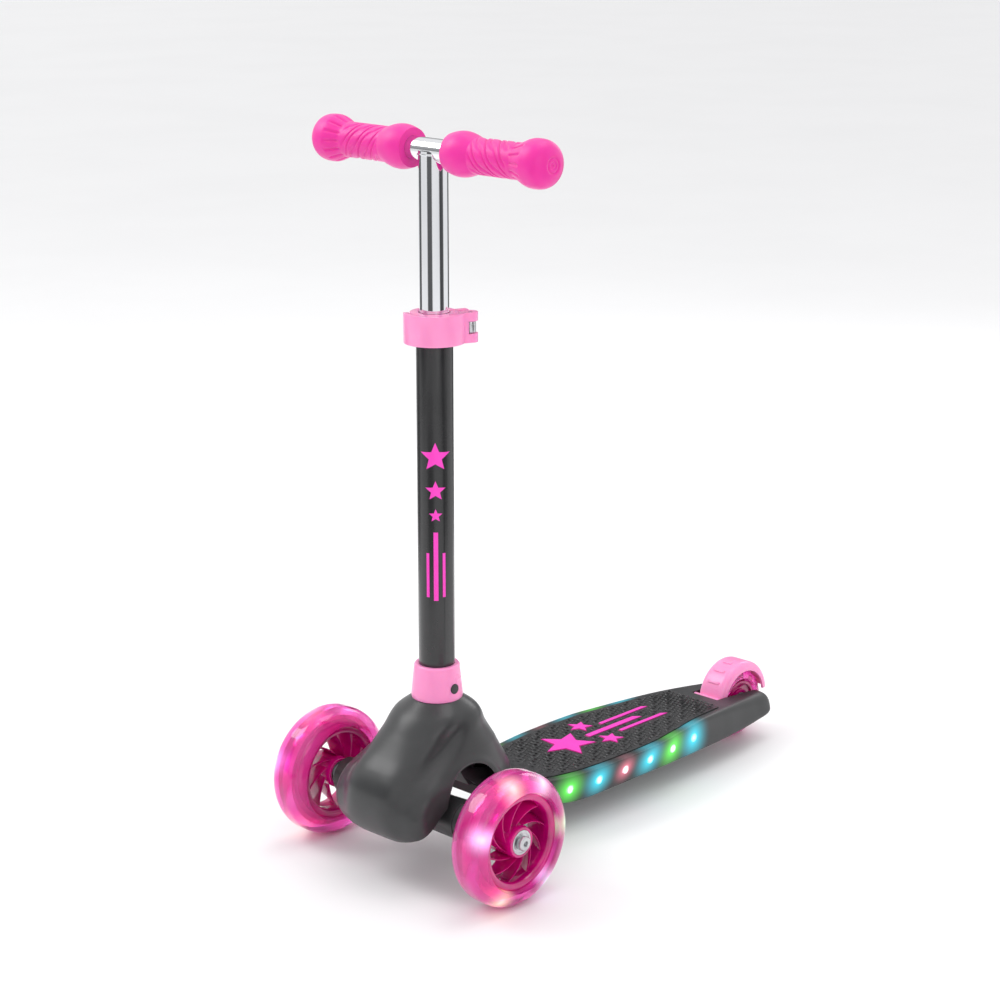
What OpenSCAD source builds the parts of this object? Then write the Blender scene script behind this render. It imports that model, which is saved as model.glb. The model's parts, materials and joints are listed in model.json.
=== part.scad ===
// Three-wheeled lean-to-steer kick scooter for a small child.
// Frame: X forward, Y to the rider's left, Z up, millimetres. The origin is on the ground,
// midway between the front of the front wheels and the back of the mudguard.

/* [Wheels] */
// Diameter of the two front wheels
wheel_d = 120; // [108:1:128]
// Width of a front tyre
wheel_w = 38; // [34:1:42]
// Distance between the middles of the two front tyres
track = 229; // [222:1:260]
// Distance from the front axle back to the rear axle
wheelbase = 450; // [436:1:520]
// Diameter of the rear wheel
rear_d = 70; // [64:1:72]
// Width of the rear tyre
rear_w = 24; // [20:1:24]
// Outside diameter of a ball bearing
bearing_d = 22; // [20:0.5:23]
// Bore of a ball bearing and diameter of the axle bolts
axle_d = 8; // [7:0.5:8]
// Width of a ball bearing
bearing_w = 7; // [6:0.5:8]
// Number of curved spokes in a front rim
spokes = 10; // [8:1:12]

/* [Column and handlebar] */
// Distance of the column behind the front axle
column_back = 27; // [24:1:30]
// Diameter of the lower column tube
tube_d = 32; // [30:0.5:34]
// Wall of the lower column tube
tube_wall = 1.5; // [1.2:0.1:1.8]
// Top of the lower column tube
tube_top = 497; // [430:1:540]
// Diameter of the sliding stem
stem_d = 25.5; // [23:0.5:25.5]
// Height of the middle of the handlebar
bar_z = 637; // [600:1:720]
// Diameter of the handlebar tube
bar_d = 20; // [18:1:22]
// Overall width over the two grips
bar_w = 274; // [264:1:310]
// Diameter of the round end of a grip
grip_d = 41; // [38:1:44]
// How far the handlebar drops when it is pushed down
bar_drop = 110; // [60:1:115]

/* [Clamp] */
// Height of the quick-release clamp
clamp_h = 26; // [22:1:30]
// Wall of the clamp collar
clamp_wall = 5; // [4:0.5:6]
// Direction in which the clamp's ears point, seen from above
ear_angle = 160; // [140:1:175]

/* [Head] */
// Top of the head housing, where the lower collar starts
head_top = 154; // [152:1:157]
// Height of the lower collar
collar_h = 31; // [28:1:36]
// Wall of the head housing
head_wall = 3; // [2.5:0.1:3.5]
// Forward lean of the kingpin from the vertical
kingpin_lean = 30; // [24:1:34]
// Diameter of the kingpin
kingpin_d = 10; // [8:0.5:11]

/* [Deck] */
// Height of the deck's top at its middle
deck_z = 55; // [52:1:60]
// Height of the deck's underside
deck_floor = 24; // [20:1:26]
// Widest width of the deck
deck_w = 117; // [110:1:124]
// Wall of the deck moulding
deck_wall = 3; // [2.5:0.1:3.5]
// Thickness of the grip pad
pad_t = 2; // [1.5:0.1:2.5]
// Number of lights along each side of the deck
lights = 6; // [4:1:6]
// Distance between two lights
light_pitch = 36; // [30:1:37]

/* [Mudguard] */
// Wall of the mudguard
guard_wall = 2.4; // [2:0.1:2.8]
// Half width of the mudguard
guard_half = 16; // [15.5:0.1:17]

/* [Fits] */
// Radial clearance of a shaft in its bore
fit = 0.05; // [0.03:0.01:0.08]
// Gap between two pieces that move past each other
gap = 0.35; // [0.3:0.05:0.5]

/* [Hidden] */

// Everything below is measured from the ground point under the middle of the front axle.
wheel_r = wheel_d / 2;
rear_r = rear_d / 2;
guard_rise = 5.5;
guard_inner = rear_r + 1.2;
guard_outer = guard_inner + guard_wall;
axle_x = (wheelbase + guard_outer - wheel_r) / 2;
column_x = -column_back;
tube_r = tube_d / 2;
stem_r = stem_d / 2;
axle_r = axle_d / 2;
bearing_r = bearing_d / 2;
deck_half = deck_w / 2;
deck_nose = -62;
deck_tail = -(wheelbase + 21);
slot_front = -(wheelbase - 46);
slot_half = guard_half + 0.8;

magenta = [0.93, 0.08, 0.52];
pale_pink = [1.0, 0.62, 0.82];
charcoal = [0.2, 0.2, 0.21];
steel = [0.75, 0.76, 0.78];
dark = [0.1, 0.1, 0.11];

module placed() translate([axle_x, 0, 0]) children();

// A bar, tube or disc along Y from y0 to y1
module y_rod(r, y0, y1, fn = 72) translate([0, y0, 0]) rotate([-90, 0, 0])
    cylinder(r = r, h = y1 - y0, $fn = fn);

// A block given by its two corners
module span(low, high) translate(low) cube(high - low);

// ---- Curves and lofted forms ----
// Index of the stretch of a table that holds t
function stretch(t, table, i = 0) =
    i >= len(table) - 2 || t < table[i + 1][0] ? i : stretch(t, table, i + 1);
// Slope of column k of a table at row i
function slope(table, i, k) =
    let(a = max(i - 1, 0), b = min(i + 1, len(table) - 1))
    (table[b][k] - table[a][k]) / (table[b][0] - table[a][0]);
// Cubic curve through the rows of a table, read at t in column k
function curve(t, table, k) =
    let(
        i = stretch(t, table),
        h = table[i + 1][0] - table[i][0],
        u = (t - table[i][0]) / h
    )
    (2 * u ^ 3 - 3 * u ^ 2 + 1) * table[i][k] + (u ^ 3 - 2 * u ^ 2 + u) * h * slope(table, i, k)
    + (3 * u ^ 2 - 2 * u ^ 3) * table[i + 1][k] + (u ^ 3 - u ^ 2) * h * slope(table, i + 1, k);

// Skin over a row of rings with equal numbers of points
module loft(rings) {
    n = len(rings[0]);
    last = (len(rings) - 1) * n;
    polyhedron(
        points = [for (r = rings) each r],
        faces = concat(
            [[for (j = [0:n - 1]) j], [for (j = [n - 1:-1:0]) last + j]],
            [for (i = [0:len(rings) - 2], j = [0:n - 1]) each [
                [(i + 1) * n + j, i * n + (j + 1) % n, i * n + j],
                [(i + 1) * n + j, (i + 1) * n + (j + 1) % n, i * n + (j + 1) % n]
            ]]
        )
    );
}

// Keeps lofted forms together as one mesh, so that only the later cuts are true curves
module as_mesh() resize([0, 0, 0]) children();

// Round wire of radius wire along a coil of radius r about Z, from z = 0 up
module coil(r, wire, pitch, turns, steps = 14, sides = 8) {
    loft([for (i = [0:steps * turns]) let(a = 360 * i / steps, z = pitch * i / steps) [
        for (j = [sides - 1:-1:0]) let(b = 360 * j / sides, q = r + wire * cos(b))
        [q * cos(a), q * sin(a), z + wire * sin(b)]
    ]]);
}

// ---- Deck ----
// Rows: distance behind the front axle, half width at the top, half width at the bottom,
// top height over the deck's middle height, bottom height over the deck's floor, top edge radius
tail = -deck_tail;
deck_table = [
    [-deck_nose, 29, 26, 6, 27, 5],
    [85, 34, 31, 5, 22, 5],
    [108, 42, 39, 3, 14, 5],
    [135, 50, 46, 0.8, 5, 4],
    [165, deck_half - 3, 49, 0, 0.5, 3],
    [200, deck_half, 50, 0, 0, 2.5],
    [265, deck_half, 50, 0, 0, 2.5],
    [wheelbase - 144, deck_half - 5.5, 49.5, 0, 0, 3],
    [wheelbase - 106, deck_half - 11.5, 48.5, 0, 0, 4],
    [wheelbase - 71, deck_half - 15.5, 47, -1.5, 0, 5],
    [wheelbase - 39, deck_half - 19.5, 44.5, -3.5, 0.2, 7],
    [wheelbase - 8, deck_half - 24, 41.5, -6, 1.5, 9],
    [tail - 6, deck_half - 27, 38.5, -8, 4, 10],
    [tail, deck_half - 31, 33, -11, 10, 7]
];
// A corner rounded with four points of a curve from a by way of c to b
function corner(a, c, b) = [for (t = [0, 1 / 3, 2 / 3, 1]) (1 - t) ^ 2 * a + 2 * t * (1 - t) * c + t ^ 2 * b];
function unit(v) = v / norm(v);
function rounded(p, radii) = [
    for (i = [0:len(p) - 1])
    let(c = p[i], a = p[(i + len(p) - 1) % len(p)], b = p[(i + 1) % len(p)])
    each corner(c + radii[i] * unit(a - c), c, c + radii[i] * unit(b - c))
];
// Cross-section of the deck at distance s behind the axle, shrunk by side and top, with its own floor
function deck_ring(s, side = 0, top = 0, low = 0) =
    let(
        wt = curve(s, deck_table, 1) - side,
        wb = curve(s, deck_table, 2) - side,
        zt = deck_z + curve(s, deck_table, 3) - top,
        zb = deck_floor + curve(s, deck_table, 4) + low,
        rt = max(curve(s, deck_table, 5) - side / 2, 1),
        outline = rounded([[wt, zt], [-wt, zt], [-wb, zb], [wb, zb]], [rt, rt, 5, 5])
    )
    [for (p = outline) [-s, p[0], p[1]]];
module deck_loft(from, to, step, side = 0, top = 0, low = 0) {
    count = ceil((to - from) / step);
    loft([for (i = [count:-1:0]) deck_ring(from + (to - from) * i / count, side, top, low)]);
}
// Distance of the deck's side from its middle plane at distance s and height z
function side_y(s, z) =
    let(
        zt = deck_z + curve(s, deck_table, 3),
        zb = deck_floor + curve(s, deck_table, 4)
    )
    curve(s, deck_table, 2) + (curve(s, deck_table, 1) - curve(s, deck_table, 2)) * (z - zb) / (zt - zb);

// Grip pad: its ends and its half width at distance s
pad_front = 112;
pad_back = wheelbase - 64;
function pad_half(s) = min(curve(s, deck_table, 1) - 9, 12 + 1.6 * (s - pad_front + 14));
module pad_sheet(low, high, grow) {
    count = 18;
    first = pad_front - grow;
    length = pad_back - pad_front + 2 * grow;
    loft([for (i = [count:-1:0]) let(
        s = first + length * i / count,
        w = pad_half(min(max(s, pad_front), pad_back)) + grow,
        z = deck_z + curve(s, deck_table, 3)
    ) [[-s, w, z + high], [-s, -w, z + high], [-s, -w, z + low], [-s, w, z + low]]]);
}

light_z = 42;
light_first = 148;
light_r = 4;
board_y = 40;
function light_x(i) = -(light_first + light_pitch * i);
cavity_back = wheelbase - 52;
base_t = 3;
base_front = 128;
base_back = cavity_back - 4;
base_inset = deck_wall + 1.4;
screw_spots = [for (s = [150, 262, 372], y = [-1, 1]) [-s, y * 34]];
battery_x = -205;
battery_l = 62;
battery_half = 27;
brake_pin_x = -(wheelbase - 41);
brake_pin_z = 46;
brake_pin_r = 2.5;
neck_screws = [for (x = [-72, -90], y = [-1, 1]) [x, y * 17]];
neck_seat = 61.5;

module deck_shell() color(charcoal) placed() difference() {
    as_mesh() difference() {
        deck_loft(-deck_nose, -deck_tail, 10);
        deck_loft(base_front - 6, cavity_back, 20, deck_wall, deck_wall, -12);
        pad_sheet(-pad_t / 2 - 0.15, 6, 0.4);
        span([-140, -60, neck_seat], [-40, 60, 90]);
        span([deck_tail - 5, -slot_half, 0], [slot_front, slot_half, 90]);
        for (i = [0:lights - 1], side = [-1, 1]) {
            translate([light_x(i), 0, light_z])
                y_rod(light_r + 0.1, side > 0 ? board_y : -80, side > 0 ? 80 : -board_y, 32);
        }
        for (p = neck_screws) {
            translate([p[0], p[1], 30]) cylinder(r = 2.1, h = 40, $fn = 24);
            translate([p[0], p[1], 20]) cylinder(r = 4.2, h = 33, $fn = 24);
        }
        for (side = [-1, 1]) {
            span(
                [-wheelbase - axle_r - fit, side > 0 ? slot_half - 1 : -slot_half - 12, 0],
                [-wheelbase + axle_r + fit, side > 0 ? slot_half + 12 : 1 - slot_half, rear_r]
            );
        }
    }
    translate([-wheelbase, 0, rear_r]) y_rod(axle_r + fit, -slot_half - 12, slot_half + 12);
    translate([brake_pin_x, 0, brake_pin_z]) y_rod(brake_pin_r + fit, -slot_half - 7, slot_half + 7);
}

// Plate that closes the underside
module deck_base() color(dark) placed() as_mesh() difference() {
    intersection() {
        deck_loft(base_front, base_back, 20, base_inset, 0, 0);
        span([-base_back - 1, -60, 0], [-base_front + 1, 60, deck_floor + base_t]);
    }
    span(
        [battery_x - battery_l / 2, -battery_half, 0],
        [battery_x + battery_l / 2, battery_half, 40]
    );
    for (p = screw_spots) {
        translate([p[0], p[1], 0]) cylinder(r = 1.6, h = 40, $fn = 24);
        translate([p[0], p[1], 0]) cylinder(r = 3.4, h = deck_floor + 1.6, $fn = 24);
    }
}

// Cap screw with its head down and a hexagonal socket
module screw(head_r, head_h, shank_r, shank_l) difference() {
    union() {
        cylinder(r = head_r, h = head_h, $fn = 48);
        cylinder(r = shank_r, h = head_h + shank_l, $fn = 48);
    }
    translate([0, 0, -1]) cylinder(r = head_r * 0.45, h = 1 + head_h * 0.6, $fn = 6);
}
module base_screws() color(steel) placed() {
    for (p = screw_spots) translate([p[0], p[1], deck_floor + 0.2]) screw(3.2, 1.4, 1.5, 14);
}
module grip_pad() color(dark) placed() as_mesh() pad_sheet(-pad_t / 2, pad_t / 2, 0);

// Generic decoration: stars and speed bars
module star(r) polygon([
    for (i = [0:9]) let(q = i % 2 == 0 ? r : r * 0.45) [q * cos(36 * i), q * sin(36 * i)]
]);
emblem_x = -252;
emblem_z = deck_z + pad_t / 2 + 0.15;
module slanted_bar(length, half, slant)
    polygon([[0, -half], [-length, -half], [-length - slant, half], [0, half]]);
module deck_emblem() color(magenta) placed() translate([0, 0, emblem_z]) linear_extrude(0.6) {
    translate([emblem_x + 48, -4]) star(27);
    translate([emblem_x + 8, 16]) star(12);
    translate([emblem_x + 6, -26]) star(12);
    translate([emblem_x + 19, -4]) slanted_bar(69, 3, 6);
    for (y = [9, -17]) translate([emblem_x - 14, y]) slanted_bar(62, 2, 5);
}

module light_board(side) {
    last = light_x(lights - 1);
    span(
        [last - 8, side > 0 ? board_y - 3.4 : -board_y + 1.8, light_z - 5],
        [light_x(0) + 8, side > 0 ? board_y - 1.8 : -board_y + 3.4, light_z + 5]
    );
    for (i = [0:lights - 1]) {
        y0 = board_y - 1.8;
        span(
            [light_x(i) - 1.75, side > 0 ? y0 : -y0 - 1, light_z - 1.75],
            [light_x(i) + 1.75, side > 0 ? y0 + 1 : -y0, light_z + 1.75]
        );
    }
}
module left_light_board() color([0.1, 0.35, 0.2]) placed() light_board(1);
module right_light_board() color([0.1, 0.35, 0.2]) placed() light_board(-1);
module light_lenses(side) for (i = [0:lights - 1]) {
    reach = side_y(-light_x(i), light_z) + 0.5;
    translate([light_x(i), 0, light_z])
        y_rod(light_r, side > 0 ? board_y - 0.6 : -reach, side > 0 ? reach : 0.6 - board_y);
}
module left_light_lenses() color([0.6, 1, 0.8, 0.8]) placed() light_lenses(1);
module right_light_lenses() color([0.6, 1, 0.8, 0.8]) placed() light_lenses(-1);

battery_r = 5.2;
tray_z = deck_floor + base_t;
module battery_box() color(dark) placed() translate([battery_x, 0, tray_z]) difference() {
    span([-battery_l / 2 - 5, -battery_half - 5, 0], [battery_l / 2 + 5, battery_half + 5, 16]);
    span([-battery_l / 2, -battery_half, -1], [battery_l / 2, battery_half, 13.5]);
}
module batteries() color([0.85, 0.75, 0.35]) placed() for (y = [-16, 0, 16]) {
    translate([battery_x, y, tray_z + 13.5 - battery_r]) rotate([0, 90, 0]) {
        translate([0, 0, -22]) cylinder(r = battery_r, h = 44, $fn = 48);
        translate([0, 0, 21.9]) cylinder(r = 1.9, h = 1.1, $fn = 48);
    }
}
module battery_cover() color(dark) placed() translate([battery_x, 0, deck_floor]) difference() {
    span([0.3 - battery_l / 2, 0.3 - battery_half, 0.2], [battery_l / 2 - 0.3, battery_half - 0.3, 2.6]);
    for (i = [-3:3]) translate([i * 5 - 0.6, -12, -1]) cube([1.2, 24, 1.8]);
}

// ---- Head: housing over the truck, and the frame inside it ----
// Rows: height, reach forward of the column, reach backward, half width at the front,
// half width at the back, squareness of the plan
head_table = [
    [42, 74, 76, 58, 46, 3.6],
    [50, 82, 77, 64, 48, 4.0],
    [62, 87, 77, 66, 48, 4.3],
    [76, 88, 73, 66, 48, 4.3],
    [90, 85, 66, 63, 48, 3.8],
    [102, 77, 58, 57, 46, 3.0],
    [114, 65, 51, 51, 44, 2.5],
    [128, 52, 44, 45, 41, 2.1],
    [143, 38, 37, 38, 37, 2],
    [head_top, 23, 23, 23, 23, 2]
];
back_square = 2.5;
function signed_power(v, e) = sign(v) * abs(v) ^ e;
function head_ring(z, inset) = [
    for (j = [0:47])
    let(
        a = 360 * j / 48,
        e = 2 / (cos(a) >= 0 ? curve(z, head_table, 5) : min(back_square, curve(z, head_table, 5))),
        reach = cos(a) >= 0 ? curve(z, head_table, 1) : curve(z, head_table, 2),
        front = curve(z, head_table, 3),
        back = curve(z, head_table, 4),
        half = back + (front - back) * (1 + cos(a)) / 2
    )
    [column_x + (reach - inset) * signed_power(cos(a), e), (half - inset) * signed_power(sin(a), e), z]
];
module head_loft(inset, low, high) loft([for (i = [0:18]) head_ring(low + (high - low) * i / 18, inset)]);

// Side openings, in the XZ plane: an arch over each arm and a slanting front edge
arch_x = -17;
arch_z = 69;
arch_r = 36;
module arch_profile() {
    circle_points = [for (a = [180:-12:12]) [arch_x + arch_r * cos(a), arch_z + arch_r * sin(a)]];
    polygon(concat([[arch_x - arch_r - 6, 0]], circle_points, [[27, 70], [37, 60], [47, 50], [53, 0]]));
}
kingpin_r = kingpin_d / 2;
// Places children on the kingpin's axis, which passes through the front axle's middle
module on_kingpin() translate([0, 0, wheel_r]) rotate([0, kingpin_lean, 0]) children();
boss_low = 18;
boss_high = 50;
socket_r = tube_r + 4.5;
socket_low = 92;

module head_cover() color(charcoal) placed() as_mesh() difference() {
    head_loft(0, 44, head_top);
    head_loft(head_wall, 40, head_top - head_wall);
    rotate([90, 0, 0]) linear_extrude(200, center = true) arch_profile();
    deck_loft(40, 160, 10, -0.25, -0.25, -12);
    translate([column_x, 0, 100]) cylinder(r = tube_r + 0.15, h = 60, $fn = 48);
}

module head_frame() color(dark) placed() difference() {
    union() {
        translate([column_x, 0, socket_low - 4])
            cylinder(r = socket_r, h = head_top - head_wall - 1 - socket_low + 4, $fn = 72);
        on_kingpin() translate([0, 0, boss_low]) cylinder(r = 15, h = boss_high - boss_low, $fn = 72);
        hull() {
            span([column_x - 14, -9, socket_low - 3], [column_x + 8, 9, 128]);
            span([16, -9, 78], [26, 9, 100]);
        }
        hull() {
            span([-94, -19, neck_seat + 0.1], [-62, 19, neck_seat + 8]);
            span([-56, -12, 72], [-50, 12, 80]);
        }
        hull() {
            span([-62, -12, neck_seat + 2], [-54, 12, 82]);
            span([column_x - 14, -12, 92], [column_x - 8, 12, 112]);
        }
    }
    translate([column_x, 0, socket_low]) cylinder(r = tube_r + fit, h = 80, $fn = 72);
    on_kingpin() {
        translate([0, 0, -40]) cylinder(r = kingpin_r + fit, h = 140, $fn = 72);
        translate([0, 0, boss_low - 30]) cylinder(r = 16, h = 30, $fn = 72);
    }
    for (p = neck_screws) translate([p[0], p[1], 50]) cylinder(r = 2.1, h = 19, $fn = 48);
}
module head_screws() color(steel) placed() {
    for (p = neck_screws) translate([p[0], p[1], 49.8]) screw(4, 3.2, 2, 14);
}

// Kingpin with its head under the yoke and a nut on top of the boss
yoke_low = -14;
yoke_high = 12;
bush_h = boss_low - yoke_high - gap;
module kingpin() color(steel) placed() on_kingpin() difference() {
    union() {
        translate([0, 0, yoke_low - 5]) cylinder(r = 9, h = 5 - gap, $fn = 72);
        translate([0, 0, yoke_low - 3]) cylinder(r = kingpin_r, h = boss_high + 8 - yoke_low + 3, $fn = 72);
    }
    translate([0, 0, yoke_low - 6]) cylinder(r = 4, h = 4, $fn = 6);
}
module kingpin_nut() color(steel) placed() on_kingpin() difference() {
    translate([0, 0, boss_high]) cylinder(r = 9, h = 6, $fn = 6);
    translate([0, 0, boss_high - 1]) cylinder(r = kingpin_r + fit, h = 8, $fn = 72);
}
module steer_bushes() color([0.3, 0.3, 0.32]) placed() on_kingpin() difference() {
    translate([0, 0, yoke_high + gap]) cylinder(r = 13.5, h = bush_h, $fn = 72);
    translate([0, 0, yoke_high - 1]) cylinder(r = kingpin_r + fit, h = bush_h + 4, $fn = 72);
}

// ---- Column ----
collar_low = head_top;
button_z = collar_low + 11;
button_r = 4.5;
button_travel = 3.5;
collar_foot_r = tube_r + 7;
collar_neck_r = tube_r + 4.2;
module lower_collar() color(pale_pink) placed() translate([column_x, 0, 0]) difference() {
    rotate_extrude($fn = 96) polygon([
        [tube_r + 0.1, collar_low], [collar_foot_r - 0.4, collar_low], [collar_foot_r, collar_low + 3],
        [collar_neck_r, collar_low + collar_h - 1.5],
        [collar_neck_r - 1.2, collar_low + collar_h], [tube_r + 0.1, collar_low + collar_h]
    ]);
    translate([0, 0, button_z]) y_rod(button_r + fit, 0, 40);
}
module column_tube() color([0.16, 0.16, 0.17]) placed() translate([column_x, 0, 0]) difference() {
    translate([0, 0, socket_low]) cylinder(r = tube_r, h = tube_top - socket_low, $fn = 96);
    translate([0, 0, socket_low - 1])
        cylinder(r = tube_r - tube_wall, h = tube_top - socket_low + 2, $fn = 96);
    translate([0, 0, button_z]) y_rod(button_r + fit, 0, 40);
    rotate([0, 0, ear_angle]) span([5, -1.5, tube_top - clamp_h - 8], [30, 1.5, tube_top + 1]);
}
// A flange inside the tube stops the button, and a leaf spring behind it leaves room for its travel
button_flange_y = tube_r - tube_wall - 1.6;
button_out_y = (collar_foot_r + collar_neck_r) / 2 + 1;
module release_button() color(dark) placed() translate([column_x, 0, button_z]) {
    y_rod(button_r, button_flange_y, button_out_y);
    y_rod(button_r + 1.6, button_flange_y - 2, button_flange_y + 0.1);
}
// Bent leaf that pushes the button out from the far wall of the tube
spring_y = button_flange_y - 2.3;
module button_spring() color(steel) placed() translate([column_x, 0, button_z]) {
    far = max(tube_r - tube_wall - 0.9, button_travel - spring_y);
    span([-3, spring_y - 0.8, -20], [3, spring_y, 4]);
    span([-3, -far, -20], [3, 0.8 - far, 4]);
    span([-3, -far, -20.8], [3, spring_y, -20]);
}
module column_bush() color(dark) placed() translate([column_x, 0, 0]) difference() {
    translate([0, 0, tube_top - 40]) cylinder(r = tube_r - tube_wall - fit, h = 40, $fn = 96);
    translate([0, 0, tube_top - 41]) cylinder(r = stem_r + fit, h = 42, $fn = 96);
    rotate([0, 0, ear_angle]) span([5, -1.5, tube_top - clamp_h - 8], [30, 1.5, tube_top + 1]);
}
graphic_low = 244;
graphic_high = 394;
module column_graphic() color(magenta) placed() translate([column_x, 0, 0]) intersection() {
    difference() {
        translate([0, 0, graphic_low]) cylinder(r = tube_r + 0.35, h = graphic_high - graphic_low, $fn = 96);
        translate([0, 0, graphic_low - 1])
            cylinder(r = tube_r + 0.02, h = graphic_high - graphic_low + 2, $fn = 96);
    }
    rotate([90, 0, 45 + 90]) linear_extrude(40) {
        translate([0, graphic_high - 18]) rotate(90) star(13);
        translate([0, graphic_high - 48]) rotate(90) star(9);
        translate([0, graphic_high - 70]) rotate(90) star(6);
        translate([0, graphic_low + 34]) square([4, 62], center = true);
        for (x = [-7, 7]) translate([x, graphic_low + 26]) square([2.4, 40], center = true);
    }
}

// ---- Quick-release clamp ----
clamp_low = tube_top + 3 - clamp_h;
clamp_mid = clamp_low + clamp_h / 2;
collar_r = tube_r + clamp_wall;
bolt_reach = collar_r + 7;
bolt_r = 3;
pivot_t = 12.2;
pivot_r = 2.5;
band_r = collar_r + 0.8;
band_t = 4.8;
// Places children at the clamp's middle, with X pointing through its ears
module at_clamp() placed() translate([column_x, 0, clamp_mid]) rotate([0, 0, ear_angle]) children();
module clamp_collar() color(pale_pink) at_clamp() difference() {
    union() {
        translate([0, 0, -clamp_h / 2]) cylinder(r = collar_r, h = clamp_h, $fn = 96);
        span([tube_r + 2, -5, -clamp_h / 2 + 1], [bolt_reach + 5, 8, clamp_h / 2 - 1]);
    }
    translate([0, 0, -clamp_h / 2 - 1]) cylinder(r = tube_r + fit, h = clamp_h - 2, $fn = 96);
    translate([0, 0, -clamp_h]) cylinder(r = stem_r + 1, h = 2 * clamp_h, $fn = 96);
    span([5, -1.5, -clamp_h], [60, 1.5, clamp_h]);
    translate([bolt_reach, 0, 0]) y_rod(bolt_r + fit, -30, 30);
}
module clamp_bolt() color(steel) at_clamp() difference() {
    union() {
        translate([bolt_reach, 0, 0]) y_rod(bolt_r, -pivot_t, 14);
        translate([bolt_reach, -pivot_t, -4.8]) cylinder(r = 4.8, h = 9.6, $fn = 72);
    }
    translate([bolt_reach, -pivot_t, -10]) cylinder(r = pivot_r + fit, h = 20, $fn = 72);
}
module clamp_nut() color(steel) at_clamp() difference() {
    translate([bolt_reach, 8, 0]) rotate([-90, 0, 0]) cylinder(r = 6, h = 5, $fn = 6);
    translate([bolt_reach, 0, 0]) y_rod(bolt_r + fit, 0, 20);
}
module lever_pin() color(steel) at_clamp()
    translate([bolt_reach, -pivot_t, 0.4 - clamp_h / 2]) cylinder(r = pivot_r, h = clamp_h - 0.8, $fn = 72);
// Cam lever: an eye round the pin and a curved band that wraps the collar
lever_sweep = 172;
function on_band(depth, a) = (band_r + depth) * [cos(a), sin(a)];
module clamp_lever() color(pale_pink) at_clamp() difference() {
    as_mesh() difference() {
        union() {
            translate([bolt_reach, -pivot_t, -clamp_h / 2]) cylinder(r = 6.6, h = clamp_h, $fn = 48);
            translate([0, 0, -clamp_h / 2]) rotate([0, 0, -lever_sweep - 28])
                rotate_extrude(angle = lever_sweep, $fn = 96)
                translate([band_r, 0]) square([band_t, clamp_h]);
            translate([0, 0, -clamp_h / 2]) linear_extrude(clamp_h) polygon([
                [bolt_reach, -pivot_t - 6.2], on_band(band_t - 0.4, -43), on_band(0.6, -35),
                [bolt_reach - 4, -pivot_t - 0.4]
            ]);
        }
        translate([bolt_reach, -pivot_t, -5.4]) cylinder(r = 7.2, h = 10.8, $fn = 48);
    }
    translate([bolt_reach, -pivot_t, -clamp_h]) cylinder(r = pivot_r + fit, h = 2 * clamp_h, $fn = 72);
}

// ---- Handlebar ----
stem_low = tube_top - bar_drop - 46;
module inner_stem() color(steel) placed() translate([column_x, 0, 0]) difference() {
    translate([0, 0, stem_low]) cylinder(r = stem_r, h = bar_z - stem_low, $fn = 96);
    translate([0, 0, stem_low - 1]) cylinder(r = stem_r - 1.5, h = bar_z - stem_low - 14, $fn = 96);
    translate([0, 0, bar_z]) {
        y_rod(bar_d / 2 + 0.02, -40, 40);
        y_rod(neck_r + 3, flange_in - 0.2, 40);
        y_rod(neck_r + 3, -40, 0.2 - flange_in);
    }
}
module cross_bar() color(steel) placed() translate([column_x, 0, bar_z]) difference() {
    y_rod(bar_d / 2, 5 - bar_w / 2, bar_w / 2 - 5);
    y_rod(bar_d / 2 - 1.5, 4 - bar_w / 2, bar_w / 2 - 4);
}
module stem_plug() color(dark) placed() translate([column_x, 0, stem_low]) {
    translate([0, 0, -3]) cylinder(r = stem_r, h = 3, $fn = 72);
    cylinder(r = stem_r - 1.55, h = 14, $fn = 72);
}
flange_in = 24;
grip_end = bar_w / 2;
neck_r = bar_d / 2 + 5.3;
flange_rise = 3.9;
flange_span = 33;
bulb_l = 18;
bulb_y = grip_end - bulb_l;
bulb_in = 18;
// Radius of a grip at distance y from the scooter's middle: flange, straight neck, round end
function grip_radius(y) =
    y < flange_in - 4 + flange_span ? neck_r + flange_rise * sin(180 * (y - flange_in + 4) / flange_span)
    : y < bulb_y - bulb_in ? neck_r
    : y < bulb_y ? neck_r + (grip_d / 2 - neck_r) * sin(90 * (y - bulb_y + bulb_in) / bulb_in) ^ 1.5
    : grip_d / 2 * (1 - ((y - bulb_y) / (bulb_l + 0.5)) ^ 3) ^ 0.4;
module grip() rotate_extrude($fn = 96) {
    ys = [for (i = [0:40]) flange_in + (grip_end - flange_in) * i / 40];
    bore = bar_d / 2 + fit;
    polygon(concat(
        [[bore, flange_in]],
        [for (y = ys) [grip_radius(y), y]],
        [[0, grip_end], [0, grip_end - 4], [bore, grip_end - 4]]
    ));
}
module left_grip() color(magenta) placed() translate([column_x, 0, bar_z]) rotate([-90, 0, 0]) grip();
module right_grip() color(magenta) placed() translate([column_x, 0, bar_z]) rotate([90, 0, 0]) grip();

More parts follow.
